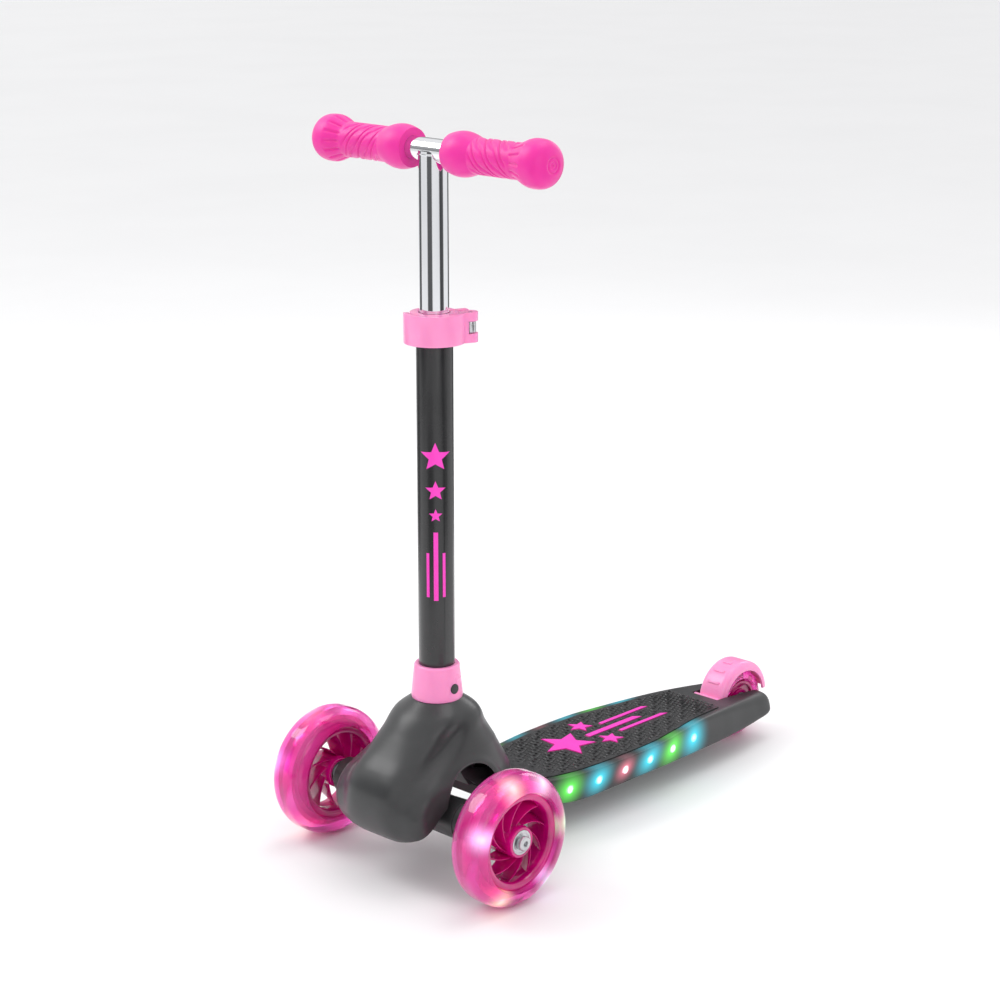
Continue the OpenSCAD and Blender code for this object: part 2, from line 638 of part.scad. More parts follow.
// ---- Truck ----
rim_half = 15;
hub_half = 20;
hub_gap = gap;
arm_end = track / 2 - hub_half + 0.5;
sleeve_r = 7;
bearing_span = 2 * rim_half;
sleeve_end = track / 2 - bearing_span / 2 - hub_gap;
module axle_yoke() color(charcoal) placed() difference() {
    union() {
        translate([0, 0, wheel_r]) y_rod(17, -arm_end + 4, arm_end - 4);
        translate([0, 0, wheel_r]) y_rod(12.5, -arm_end + 1.5, arm_end - 1.5);
        on_kingpin() translate([0, 0, yoke_low]) cylinder(r = 27, h = yoke_high - yoke_low, $fn = 96);
        for (side = [-1, 1]) hull() {
            on_kingpin() translate([0, side * 16, yoke_low + 1])
                cylinder(r = 13, h = yoke_high - yoke_low - 4, $fn = 32);
            translate([0, side * 60, wheel_r]) y_rod(18, -2, 2, 32);
        }
    }
    translate([0, 0, wheel_r]) y_rod(sleeve_r + fit, -arm_end - 5, arm_end + 5);
    on_kingpin() {
        translate([0, 0, -50]) cylinder(r = kingpin_r + fit, h = 100, $fn = 72);
        translate([0, 0, yoke_high]) cylinder(r = 18, h = 40, $fn = 72);
        translate([0, 0, yoke_low - 40]) cylinder(r = 11, h = 40, $fn = 72);
    }
}
// Steel sleeve in each arm, threaded for the axle bolt
module axle_sleeve() color(steel) placed() translate([0, 0, wheel_r]) for (side = [-1, 1]) difference() {
    y_rod(sleeve_r, side > 0 ? 24 : -sleeve_end, side > 0 ? sleeve_end : -24);
    y_rod(axle_r + fit / 2, side > 0 ? 20 : -sleeve_end - 1, side > 0 ? sleeve_end + 1 : -20);
}
bolt_head_y = track / 2 + bearing_span / 2 + hub_gap;
module axle_bolt(side) translate([0, 0, wheel_r]) rotate([0, 0, side > 0 ? 0 : 180]) difference() {
    union() {
        y_rod(axle_r - fit / 2, 40, bolt_head_y + 1);
        translate([0, bolt_head_y + 4.5, 0]) rotate([90, 0, 0]) cylinder(r1 = 5.6, r2 = 6.5, h = 1, $fn = 72);
        y_rod(6.5, bolt_head_y, bolt_head_y + 3.5);
    }
    translate([0, bolt_head_y + 1.5, 0]) rotate([-90, 0, 0]) cylinder(r = 2.9, h = 5, $fn = 6);
}
module left_axle_bolt() color(steel) placed() axle_bolt(1);
module right_axle_bolt() color(steel) placed() axle_bolt(-1);
// Magnet ring that stands still on the bolt between the two bearings
module magnet_ring(side) translate([0, side * track / 2, wheel_r]) difference() {
    y_rod(7, hub_gap + bearing_w - bearing_span / 2, bearing_span / 2 - bearing_w - hub_gap);
    y_rod(axle_r + fit / 2, -20, 20);
}
module left_magnet_ring() color(dark) placed() magnet_ring(1);
module right_magnet_ring() color(dark) placed() magnet_ring(-1);

// ---- Wheels ----
core_r = 0.72 * wheel_r;
light_ring_t = 3.2;
// Tyre section with rounded shoulders, in the plane of radius and width
module tyre_blank(r, w, inner, corner_r) {
    hull() for (y = [-1, 1]) {
        translate([r - corner_r, y * (w / 2 - corner_r)]) circle(r = corner_r, $fn = 64);
        translate([inner, y * (w / 2 - 5)]) circle(r = 1, $fn = 24);
    }
}
module front_tyre() translate([0, 0, wheel_r]) rotate([-90, 0, 0]) rotate_extrude($fn = 144) difference() {
    intersection() {
        tyre_blank(wheel_r, wheel_w, core_r, 15);
        translate([core_r, -wheel_w]) square([wheel_r, 2 * wheel_w]);
    }
    translate([0, -4.2]) square([core_r + light_ring_t + 3.2, 8.4]);
}
hub_r = 14.5;
spoke_t = 2.2;
spoke_sweep = 62;
// Middle line of a curved spoke: the angle grows with the square root of the way out
function spoke_angle(u) = spoke_sweep * sqrt(u);
module spoke_2d() {
    r0 = hub_r - 1;
    r1 = core_r - 4;
    edge = [for (side = [-1, 1]) [for (i = [0:12]) let(
        u = (side < 0 ? i : 12 - i) / 12,
        r = r0 + (r1 - r0) * u,
        a = spoke_angle(u) + side * spoke_t * (1 + 0.6 * u) / r * 28.6
    ) [r * cos(a), r * sin(a)]]];
    polygon(concat(edge[0], edge[1]));
}
module front_rim() translate([0, 0, wheel_r]) rotate([90, 0, 0]) difference() {
    union() {
        difference() {
            translate([0, 0, -rim_half]) cylinder(r = core_r - 0.02, h = 2 * rim_half, $fn = 144);
            translate([0, 0, -rim_half - 1]) cylinder(r = core_r - 4.5, h = 2 * rim_half + 2, $fn = 144);
        }
        translate([0, 0, -rim_half]) cylinder(r = hub_r, h = 2 * rim_half, $fn = 96);
        translate([0, 0, -10]) linear_extrude(20)
            for (i = [0:spokes - 1]) rotate(360 * i / spokes) spoke_2d();
    }
    cylinder(r = 8.5, h = 80, center = true, $fn = 72);
    for (s = [-1, 1]) translate([0, 0, s * (rim_half - bearing_w / 2 + 0.5)])
        cylinder(r = bearing_r + 0.02, h = bearing_w + 1, center = true, $fn = 72);
}
module bearing_pair(half) rotate([90, 0, 0]) for (s = [-1, 1])
    translate([0, 0, s * (half - bearing_w / 2)]) difference() {
    cylinder(r = bearing_r, h = bearing_w, center = true, $fn = 72);
    cylinder(r = axle_r + fit, h = bearing_w + 2, center = true, $fn = 72);
    for (e = [-1, 1]) translate([0, 0, e * bearing_w / 2]) difference() {
        cylinder(r = 9, h = 0.8, center = true, $fn = 72);
        cylinder(r = 6.2, h = 2, center = true, $fn = 72);
    }
}
// Ring of coils with its lamps, moulded into the tyre
lamps = 6;
module light_ring() translate([0, 0, wheel_r]) rotate([90, 0, 0]) {
    difference() {
        cylinder(r = core_r + light_ring_t, h = 8, center = true, $fn = 96);
        cylinder(r = core_r + 0.03, h = 10, center = true, $fn = 96);
    }
    for (i = [0:lamps - 1]) rotate([0, 0, 360 * i / lamps + 15])
        translate([core_r + light_ring_t + 1, 0, 0]) cube([2.6, 5, 5], center = true);
}
module left_tyre() color([0.98, 0.3, 0.65, 0.6]) placed() translate([0, track / 2, 0]) front_tyre();
module left_rim() color(magenta) placed() translate([0, track / 2, 0]) front_rim();
module left_bearings() color(steel) placed() translate([0, track / 2, wheel_r]) bearing_pair(rim_half);
module left_light_ring() color([1, 0.9, 0.6]) placed() translate([0, track / 2, 0]) light_ring();
module right_tyre() color([0.98, 0.3, 0.65, 0.6]) placed() translate([0, -track / 2, 0])
    rotate([0, 0, 180]) front_tyre();
module right_rim() color(magenta) placed() translate([0, -track / 2, 0]) rotate([0, 0, 180]) front_rim();
module right_bearings() color(steel) placed() translate([0, -track / 2, wheel_r]) bearing_pair(rim_half);
module right_light_ring() color([1, 0.9, 0.6]) placed() translate([0, -track / 2, 0])
    rotate([0, 0, 180]) light_ring();

// ---- Rear wheel ----
rear_core = rear_r - 12;
module rear_tyre() color([0.95, 0.2, 0.6, 0.7]) placed() translate([-wheelbase, 0, rear_r])
    rotate([-90, 0, 0])
    rotate_extrude($fn = 144) intersection() {
        tyre_blank(rear_r, rear_w, rear_core, 9);
        translate([rear_core, -rear_w]) square([rear_r, 2 * rear_w]);
    }
module rear_rim() color(magenta) placed() translate([-wheelbase, 0, rear_r]) rotate([90, 0, 0]) difference() {
    cylinder(r = rear_core - 0.02, h = rear_w - 4, center = true, $fn = 96);
    for (s = [-1, 1]) translate([0, 0, s * (rear_w / 2 - 3)]) difference() {
        cylinder(r = rear_core - 3, h = 4, center = true, $fn = 96);
        cylinder(r = hub_r, h = 5, center = true, $fn = 96);
    }
    cylinder(r = 8.5, h = 40, center = true, $fn = 72);
    for (s = [-1, 1]) translate([0, 0, s * (rear_w / 2 - 2 - bearing_w / 2 + 0.5)])
        cylinder(r = bearing_r + 0.02, h = bearing_w + 1, center = true, $fn = 72);
}
module rear_bearings() color(steel) placed() translate([-wheelbase, 0, rear_r]) bearing_pair(rear_w / 2 - 2);
module rear_axle() color(steel) placed() translate([-wheelbase, 0, rear_r]) {
    collar_in = rear_w / 2 - 2 + gap;
    y_rod(axle_r, -slot_half - 11.5, slot_half + 11.5);
    y_rod(6.2, collar_in, slot_half - 0.1);
    y_rod(6.2, 0.1 - slot_half, -collar_in);
}
block_w = 2 * axle_r + 2 * fit - 0.1;
module rear_axle_blocks() color(dark) placed() for (side = [-1, 1]) difference() {
    y0 = side > 0 ? slot_half + 0.1 : -slot_half - 11.8;
    span([-wheelbase - block_w / 2, y0, deck_floor + 2], [-wheelbase + block_w / 2, y0 + 11.7, rear_r - 0.5]);
    translate([-wheelbase, 0, rear_r]) y_rod(axle_r + fit, -40, 40);
    translate([-wheelbase, side * (slot_half + 6), 0]) cylinder(r = 1.5, h = 40, $fn = 48);
}
module block_screws() color(steel) placed() for (side = [-1, 1])
    translate([-wheelbase, side * (slot_half + 6), deck_floor])
        screw(3, 2, 1.45, rear_r - axle_r - deck_floor - 2.2);

// ---- Mudguard that is also the brake ----
guard_z = rear_r + guard_rise;
arch_cut = rear_r - 5;
module guard_profile(outer, half, round_r) hull() {
    for (y = [-1, 1]) {
        translate([outer - round_r, y * (half - round_r)]) circle(r = round_r, $fn = 48);
        translate([arch_cut - 2, y * (half - 0.5)]) circle(r = 0.5, $fn = 16);
    }
}
module brake_fender() color(pale_pink) placed() difference() {
    union() {
        translate([-wheelbase, 0, guard_z]) rotate([90, 0, 0]) rotate([0, 0, 6])
            rotate_extrude(angle = 166, $fn = 144) difference() {
                guard_profile(guard_outer, guard_half, 7);
                guard_profile(guard_inner, guard_half - guard_wall, 5);
                translate([0, -40]) square([arch_cut, 80]);
            }
        for (i = [0:2]) translate([-wheelbase, 0, guard_z]) rotate([90, 0, 0]) rotate([0, 0, 34 + 20 * i])
            rotate_extrude(angle = 4, $fn = 144) translate([guard_outer - 1, -7 + i]) square([2, 14 - 2 * i]);
        translate([brake_pin_x, 0, brake_pin_z]) y_rod(5, -guard_half, guard_half);
    }
    translate([brake_pin_x, 0, brake_pin_z]) y_rod(brake_pin_r + fit, -40, 40);
}
module brake_pin() color(steel) placed() translate([brake_pin_x, 0, brake_pin_z])
    y_rod(brake_pin_r, -slot_half - 6.5, slot_half + 6.5);
module brake_spring() color(steel) placed() translate([brake_pin_x + 0.5, 0, brake_pin_z - 12])
    coil(3.2, 0.6, 1.6, 4);

deck_shell();
deck_base();
base_screws();
grip_pad();
deck_emblem();
left_light_board();
right_light_board();
left_light_lenses();
right_light_lenses();
battery_box();
batteries();
battery_cover();
head_cover();
head_frame();
head_screws();
kingpin();
kingpin_nut();
steer_bushes();
lower_collar();
column_tube();
column_bush();
column_graphic();
button_spring();
release_button();
clamp_collar();
clamp_bolt();
clamp_nut();
lever_pin();
clamp_lever();
inner_stem();
cross_bar();
stem_plug();
left_grip();
right_grip();
axle_yoke();
axle_sleeve();
left_axle_bolt();
right_axle_bolt();
left_magnet_ring();
right_magnet_ring();
left_tyre();
left_rim();
left_bearings();
left_light_ring();
right_tyre();
right_rim();
right_bearings();
right_light_ring();
rear_tyre();
rear_rim();
rear_bearings();
rear_axle();
rear_axle_blocks();
block_screws();
brake_fender();
brake_pin();
brake_spring();
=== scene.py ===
# %% [markdown]
# # A kick scooter, finished in Blender
#
# The scooter arrives as exact parts: tubes, bolts, wheels and mouldings that fit and move. They are
# the fixed frame of this scene. What is added here is what a maker would see and feel: smooth
# mouldings, grooves in the grips, chips on the pad, clear tyres with lamps inside, and a finish on
# every surface. Lengths are in metres and the axes are the scooter's own: X forward, Y to the
# rider's left, Z up.

# %% Load the frame
import json
import math

import bmesh
import bpy
import numpy as np
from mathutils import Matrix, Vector

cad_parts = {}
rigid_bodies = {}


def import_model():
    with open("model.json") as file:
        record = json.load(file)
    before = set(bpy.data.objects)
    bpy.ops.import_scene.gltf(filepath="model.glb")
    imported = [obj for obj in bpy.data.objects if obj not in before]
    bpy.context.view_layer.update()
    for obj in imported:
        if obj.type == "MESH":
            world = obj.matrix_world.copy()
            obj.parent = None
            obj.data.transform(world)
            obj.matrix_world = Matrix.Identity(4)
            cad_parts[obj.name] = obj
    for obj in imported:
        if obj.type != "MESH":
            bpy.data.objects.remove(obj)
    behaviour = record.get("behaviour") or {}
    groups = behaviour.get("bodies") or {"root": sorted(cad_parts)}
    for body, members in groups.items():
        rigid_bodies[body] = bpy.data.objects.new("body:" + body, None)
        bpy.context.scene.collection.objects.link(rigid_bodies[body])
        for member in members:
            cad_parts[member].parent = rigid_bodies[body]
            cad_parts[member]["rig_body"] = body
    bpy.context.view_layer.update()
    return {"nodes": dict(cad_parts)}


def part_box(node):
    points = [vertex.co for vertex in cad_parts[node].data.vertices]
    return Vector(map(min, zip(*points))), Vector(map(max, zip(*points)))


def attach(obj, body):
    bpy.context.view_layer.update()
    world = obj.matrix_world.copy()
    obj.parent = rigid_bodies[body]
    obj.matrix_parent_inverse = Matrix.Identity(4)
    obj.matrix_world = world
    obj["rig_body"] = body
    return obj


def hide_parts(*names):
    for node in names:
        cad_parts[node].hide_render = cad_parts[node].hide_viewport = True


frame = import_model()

NODES = frame["nodes"]
MM = 0.001


def middle(node):
    """Middle of a node's box, as an array."""
    low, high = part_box(node)
    return (np.array(low) + np.array(high)) / 2


FRONT_AXLE = middle("left_tyre") * [1, 0, 1]
REAR_AXLE = middle("rear_tyre") * [1, 0, 1]
COLUMN = middle("column_tube") * [1, 1, 0]
TRACK = middle("left_tyre")[1] - middle("right_tyre")[1]
WHEELBASE = FRONT_AXLE[0] - REAR_AXLE[0]
print("axles", FRONT_AXLE.round(4), REAR_AXLE.round(4), "column", COLUMN.round(4))

# %% [markdown]
# ## Camera and light
#
# The scooter stands turned to three quarters on a pale floor. Chrome and gloss show nothing but
# what stands around them, so the surroundings matter: the sky is pale, and lights the scooter evenly,
# but what the metal reflects is a studio with bright soft walls and a few dark panels between them.
# A Light Path node tells the two apart.

# %% Camera
YAW, TILT = math.radians(43.92), math.radians(15.72)
scene = bpy.context.scene
camera = bpy.data.objects.new("camera", bpy.data.cameras.new("camera"))
scene.collection.objects.link(camera)
camera.location = (1.6044, 1.44217, 0.90262)
sight = Vector((-math.cos(YAW) * math.cos(TILT), -math.sin(YAW) * math.cos(TILT), -math.sin(TILT)))
camera.rotation_euler = sight.to_track_quat("-Z", "Y").to_euler()
camera.data.lens = 87.06
camera.data.sensor_width = 36
scene.camera = camera
scene.view_settings.view_transform = "Standard"
print("camera", tuple(round(c, 3) for c in camera.location))


# %% Lights
def soft_light(name, place, target, size, power, colour=(1, 1, 1)):
    """A square area light at place, turned towards target."""
    data = bpy.data.lights.new(name, "AREA")
    data.size, data.energy, data.color = size, power, colour
    lamp = bpy.data.objects.new(name, data)
    scene.collection.objects.link(lamp)
    lamp.location = place
    lamp.rotation_euler = (Vector(target) - Vector(place)).to_track_quat("-Z", "Y").to_euler()
    return lamp


soft_light("key", (1.0, -1.5, 1.9), (0, 0, 0.25), 1.0, 15)
soft_light("fill", (0.9, 2.3, 1.3), (0, 0, 0.3), 1.2, 5)
soft_light("top", (-0.4, 0.2, 2.4), (0, 0, 0.2), 1.2, 9)
soft_light("back", (-2.0, -0.6, 1.2), (0, 0, 0.3), 0.8, 5)


def builder(tree):
    """A function that adds a node to a tree. Each named socket gets a value, or a link if what is
    given is another node's output."""
    def node(kind, sockets=None, **settings):
        made = tree.nodes.new(kind)
        for key, value in settings.items():
            setattr(made, key, value)
        for label, value in (sockets or {}).items():
            if isinstance(value, bpy.types.NodeSocket):
                tree.links.new(value, made.inputs[label])
            else:
                made.inputs[label].default_value = value
        return made
    return node


def smooth_range(node, value, low, high):
    """A node that rises smoothly from 0 at low to 1 at high."""
    sockets = {"Value": value, "From Min": low, "From Max": high}
    return node("ShaderNodeMapRange", sockets, interpolation_type="SMOOTHSTEP").outputs[0]


def maths(node, operation, *values):
    """The result of a Math node on values or outputs."""
    return node("ShaderNodeMath", dict(enumerate(values)), operation=operation).outputs[0]


def around_panels(node, split, count, shift, low, high):
    """A mask with as many soft panels round the Z axis as count: the sine of count times the
    bearing plus shift, risen from low to high."""
    bearing = maths(node, "ARCTAN2", split.outputs["Y"], split.outputs["X"])
    wave = maths(node, "SINE", maths(node, "MULTIPLY_ADD", bearing, count, shift))
    return smooth_range(node, wave, low, high)


def build_studio():
    """A pale sky for the eye, and for reflections bright walls with soft dark panels between."""
    world = bpy.data.worlds.new("studio")
    world.use_nodes = True
    scene.world = world
    world.node_tree.nodes.clear()
    node = builder(world.node_tree)
    coords = node("ShaderNodeTexCoord")
    split = node("ShaderNodeSeparateXYZ", {0: coords.outputs["Generated"]})
    panels = around_panels(node, split, 3, 0, -0.95, -0.1)
    overhead = smooth_range(node, split.outputs["Z"], 0.45, 0.8)
    share = maths(node, "MAXIMUM", panels, overhead)
    tones = {"A": (0.12, 0.12, 0.13, 1), "B": (0.95, 0.95, 0.96, 1), "Factor": share}
    tone = node("ShaderNodeMix", tones, data_type="RGBA")
    walls = node("ShaderNodeBackground", {"Color": tone.outputs["Result"]})
    sky = node("ShaderNodeBackground", {"Color": (0.98, 0.98, 0.985, 1)})
    path = node("ShaderNodeLightPath")
    mixed = {0: path.outputs["Is Glossy Ray"], 1: sky.outputs[0], 2: walls.outputs[0]}
    mix = node("ShaderNodeMixShader", mixed)
    node("ShaderNodeOutputWorld", {"Surface": mix.outputs[0]})


build_studio()

# %% [markdown]
# ## Making surfaces from arrays
#
# Every new piece is a grid of points worked out with numpy: a row of points for each step along one
# parameter. Three small helpers turn such arrays into meshes. `skin` joins neighbouring points with
# four-sided faces, `piece` puts them in an object of the scene, and `turned` makes a
# grid from a profile that spins round an axis.


# %% Mesh helpers
def skin(rows, cols, wrap_rows=False):
    """Faces of a grid of rows by cols points, closed round along each row, and if asked along each
    column too."""
    r = np.arange(rows if wrap_rows else rows - 1)
    c = np.arange(cols)
    a = (r[:, None] * cols + c[None, :]).ravel()
    b = (r[:, None] * cols + (c[None, :] + 1) % cols).ravel()
    up = ((r[:, None] + 1) % rows * cols + c[None, :]).ravel()
    over = ((r[:, None] + 1) % rows * cols + (c[None, :] + 1) % cols).ravel()
    return np.stack([a, b, over, up], 1)


def as_mesh(name, points, faces):
    """A mesh from points and faces, turned over as a whole if the volume it encloses, summed over
    all its closed parts, comes out negative."""
    mesh = bpy.data.meshes.new(name)
    mesh.from_pydata(np.asarray(points, float).reshape(-1, 3).tolist(), [], [list(f) for f in faces])
    mesh.validate()
    mesh.calc_loop_triangles()
    co = np.array([v.co for v in mesh.vertices], float).reshape(-1, 3)
    corners = np.array([t.vertices for t in mesh.loop_triangles])
    p, q, r = co[corners[:, 0]], co[corners[:, 1]], co[corners[:, 2]]
    if np.einsum("ij,ij->i", p, np.cross(q, r)).sum() < 0:
        mesh.flip_normals()
    return mesh


def shade(mesh, crease=32):
    """Smooth faces, with edges sharper than crease degrees kept crisp."""
    mesh.shade_smooth()
    mesh.set_sharp_from_angle(angle=math.radians(crease))


def piece(name, points, faces, body=None, replaces=(), crease=32):
    """A finished object from points and faces, which rides on a body and may stand for CAD nodes."""
    thing = bpy.data.objects.new(name, as_mesh(name, points, faces))
    scene.collection.objects.link(thing)
    shade(thing.data, crease)
    if body:
        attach(thing, body)
    if replaces:
        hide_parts(*replaces)
    return thing


def loft_faces(rows, cols):
    """Faces of a closed tube of rings, with a flat face at each end."""
    sides = skin(rows, cols).tolist()
    last = (rows - 1) * cols
    return sides + [list(range(cols))[::-1], [last + i for i in range(cols)]]


def merged(points, faces, more_points, more_faces):
    """Two sets of points and faces as one."""
    shift = len(points)
    return (
        np.concatenate([points, more_points]),
        [list(f) for f in faces] + [[i + shift for i in f] for f in more_faces],
    )


def turned(profile, around=96):
    """A closed profile (radius, along) spun about an axis: points (n, around, 3) as
    (radius cos t, radius sin t, along)."""
    t = np.linspace(0, 2 * np.pi, around, endpoint=False)
    r, a = np.asarray(profile, float).T
    return np.stack([r[:, None] * np.cos(t), r[:, None] * np.sin(t), np.tile(a[:, None], around)], -1)


def along_y(points, centre, mirror=1):
    """Moves points made about Z to the axis Y through centre; mirror -1 points them the other way."""
    x, y, z = np.moveaxis(points, -1, 0)
    return np.stack([x + centre[0], mirror * z + centre[1], y + centre[2]], -1)


def softened_profile(corners, radius, steps=5):
    """A closed outline with each corner rounded by a short arc: a quadratic curve from one side
    of the corner to the other, no further along a side than radius or 0.45 of its length."""
    p = np.asarray(corners, float)
    before, after = np.roll(p, 1, 0) - p, np.roll(p, -1, 0) - p
    la, lb = np.linalg.norm(before, axis=1), np.linalg.norm(after, axis=1)
    a = p + before / la[:, None] * np.minimum(radius, 0.45 * la)[:, None]
    b = p + after / lb[:, None] * np.minimum(radius, 0.45 * lb)[:, None]
    t = np.linspace(0, 1, steps)[:, None]
    return np.concatenate([(1 - t) ** 2 * a[i] + 2 * t * (1 - t) * p[i] + t ** 2 * b[i]
                           for i in range(len(p))])


def curve(t, table, k):
    """Cubic through the rows of a table, whose first column is t, read in column k: each stretch
    is a Hermite cubic whose end slopes are the secants over its neighbours."""
    table = np.asarray(table, float)
    x, y = table[:, 0], table[:, k]
    n = np.arange(len(x))
    low, high = np.maximum(n - 1, 0), np.minimum(n + 1, len(x) - 1)
    slope = (y[high] - y[low]) / (x[high] - x[low])
    i = np.clip(np.searchsorted(x, t, side="right") - 1, 0, len(x) - 2)
    h = x[i + 1] - x[i]
    u = (t - x[i]) / h
    return (
        (2 * u**3 - 3 * u**2 + 1) * y[i] + (u**3 - 2 * u**2 + u) * h * slope[i]
        + (3 * u**2 - 2 * u**3) * y[i + 1] + (u**3 - u**2) * h * slope[i + 1]
    )


def apply_modifiers(thing):
    """Gives a piece the mesh that its modifiers make of it, and drops them."""
    result = thing.evaluated_get(bpy.context.evaluated_depsgraph_get())
    mesh = bpy.data.meshes.new_from_object(result)
    thing.modifiers.clear()
    thing.data = mesh


def carve(thing, cutters):
    """Cuts closed shapes out of a piece, one after another, and applies the cuts."""
    for points, faces in cutters:
        tool = bpy.data.objects.new("cutter", as_mesh("cutter", points, faces))
        scene.collection.objects.link(tool)
        cut = thing.modifiers.new("cut", "BOOLEAN")
        cut.operation, cut.solver, cut.object = "DIFFERENCE", "MANIFOLD", tool
        apply_modifiers(thing)
        bpy.data.objects.remove(tool)


def block(low, high):
    """Points and faces of a box between two corners."""
    l, h = np.asarray(low, float), np.asarray(high, float)
    bits = np.array([[i, j, k] for k in (0, 1) for j in (0, 1) for i in (0, 1)])
    faces = [[0, 2, 3, 1], [4, 5, 7, 6], [0, 1, 5, 4], [2, 6, 7, 3], [0, 4, 6, 2], [1, 3, 7, 5]]
    return l + bits * (h - l), faces


def rod(radius, start, end, around=48):
    """Points and faces of a round rod between two points."""
    start, end = np.asarray(start, float), np.asarray(end, float)
    axis = (end - start) / np.linalg.norm(end - start)
    side = np.cross(axis, [0.0, 0.0, 1.0] if abs(axis[2]) < 0.9 else [1.0, 0.0, 0.0])
    side /= np.linalg.norm(side)
    t = np.linspace(0, 2 * np.pi, around, endpoint=False)[:, None]
    ring = radius * (np.cos(t) * side + np.sin(t) * np.cross(axis, side))
    return np.concatenate([start + ring, end + ring]), loft_faces(2, around)


# %% [markdown]
# ## Finishes
#
# Moulded plastic is never one flat colour: it has a fine spark-eroded grain, its gloss wanders
# where hands have rubbed it, and its tone is a little uneven. Three node groups hold these effects.
# `grain` gives a bump normal and an uneven gloss, `mottle` varies a colour, and `glow` paints the
# halo round a lamp into a surface's emission colour. Each material places them with its own values, and keeps
# its own shader.


# %% Node groups
def new_group(name, inputs, outputs):
    """A shader node group with named sockets: (name, kind, default) in, (name, kind) out."""
    tree = bpy.data.node_groups.new(name, "ShaderNodeTree")
    for label, kind, value in inputs:
        socket = tree.interface.new_socket(label, in_out="INPUT", socket_type="NodeSocket" + kind)
        socket.default_value = value
    for label, kind in outputs:
        tree.interface.new_socket(label, in_out="OUTPUT", socket_type="NodeSocket" + kind)
    node = builder(tree)
    return tree, node, node("NodeGroupInput").outputs, node("ShaderNodeTexCoord").outputs["Object"]


def grain_group():
    """Fine grain as a bump, and a roughness that drifts by Spread about Gloss."""
    inputs = [("Scale", "Float", 900.0), ("Depth", "Float", 0.1), ("Gloss", "Float", 0.4),
              ("Spread", "Float", 0.1)]
    tree, node, given, place = new_group("grain", inputs, [("Roughness", "Float"), ("Normal", "Vector")])
    fine = node("ShaderNodeTexNoise", {"Detail": 3, "Vector": place, "Scale": given["Scale"]})
    bump = node("ShaderNodeBump",
                {"Distance": 0.0002, "Strength": given["Depth"], "Height": fine.outputs["Fac"]})
    broad = node("ShaderNodeTexNoise", {"Scale": 28, "Detail": 5, "Vector": place})
    drift = maths(node, "SUBTRACT", broad.outputs["Fac"], 0.5)
    rough = maths(node, "MULTIPLY_ADD", drift, given["Spread"], given["Gloss"])
    node("NodeGroupOutput", {"Normal": bump.outputs["Normal"], "Roughness": rough})
    return tree


def mottle_group():
    """A colour that wanders between two tones, with the second gathered in broad soft patches."""
    white, black = (1, 1, 1, 1), (0, 0, 0, 1)
    inputs = [("Base", "Color", white), ("Second", "Color", black), ("Scale", "Float", 30.0),
              ("Amount", "Float", 0.5)]
    tree, node, given, place = new_group("mottle", inputs, [("Color", "Color")])
    cloud = node("ShaderNodeTexNoise",
                 {"Detail": 6, "Roughness": 0.6, "Vector": place, "Scale": given["Scale"]})
    patches = smooth_range(node, cloud.outputs["Fac"], 0.35, 0.7)
    share = maths(node, "MULTIPLY", patches, given["Amount"])
    mix = node("ShaderNodeMix", {"Factor": share, "A": given["Base"], "B": given["Second"]}, data_type="RGBA")
    node("NodeGroupOutput", {"Color": mix.outputs["Result"]})
    return tree


def glow_group():
    """Light of a lamp painted on the surface round it, as emission colour: a halo in the lamp's colour
    that ends at Reach from Centre, and in it a white core that ends at Core. Each falls off as a power of the
    distance."""
    inputs = [("Centre", "Vector", (0, 0, 0)), ("Reach", "Float", 0.02), ("Core", "Float", 0.004),
              ("Tint", "Color", (1, 1, 1, 1))]
    tree, node, given, place = new_group("glow", inputs, [("Color", "Color")])
    away = node("ShaderNodeVectorMath", {0: place, 1: given["Centre"]}, operation="DISTANCE").outputs["Value"]
    shares = []
    for end, power in (("Reach", 2.2), ("Core", 1.5)):
        fall = node("ShaderNodeMapRange", {"Value": away, "From Max": given[end], "To Min": 1, "To Max": 0})
        shares.append(maths(node, "POWER", fall.outputs[0], power))
    halo = node("ShaderNodeMix", {"A": (0, 0, 0, 1), "B": given["Tint"], "Factor": shares[0]},
                data_type="RGBA")
    core = {"A": halo.outputs["Result"], "B": (1, 1, 1, 1), "Factor": shares[1]}
    lit = node("ShaderNodeMix", core, data_type="RGBA")
    node("NodeGroupOutput", {"Color": lit.outputs["Result"]})
    return tree


GRAIN, MOTTLE, GLOW = grain_group(), mottle_group(), glow_group()


# %% Materials from the groups
def finish(name, base, second=None, amount=0.5, patch=30.0, gloss=0.4, spread=0.15, grain=900.0, depth=0.15,
           **sockets):
    """A Principled material whose colour, gloss and normal come from the shared groups. Values
    that are the same all over, such as coat or sheen, are set on the shader's own sockets."""
    material = bpy.data.materials.new(name)
    material.use_nodes = True
    tree = material.node_tree
    shader = tree.nodes["Principled BSDF"]
    node = builder(tree)
    second = second or [c * 0.7 for c in base]
    tones = {"Base": (*base, 1), "Second": (*second, 1), "Scale": patch, "Amount": amount}
    colour = node("ShaderNodeGroup", tones, node_tree=MOTTLE)
    touch = {"Scale": grain, "Depth": depth, "Gloss": gloss, "Spread": spread}
    surface = node("ShaderNodeGroup", touch, node_tree=GRAIN)
    tree.links.new(colour.outputs["Color"], shader.inputs["Base Color"])
    tree.links.new(surface.outputs["Roughness"], shader.inputs["Roughness"])
    tree.links.new(surface.outputs["Normal"], shader.inputs["Normal"])
    for label, value in sockets.items():
        shader.inputs[label.replace("_", " ")].default_value = value
    return material


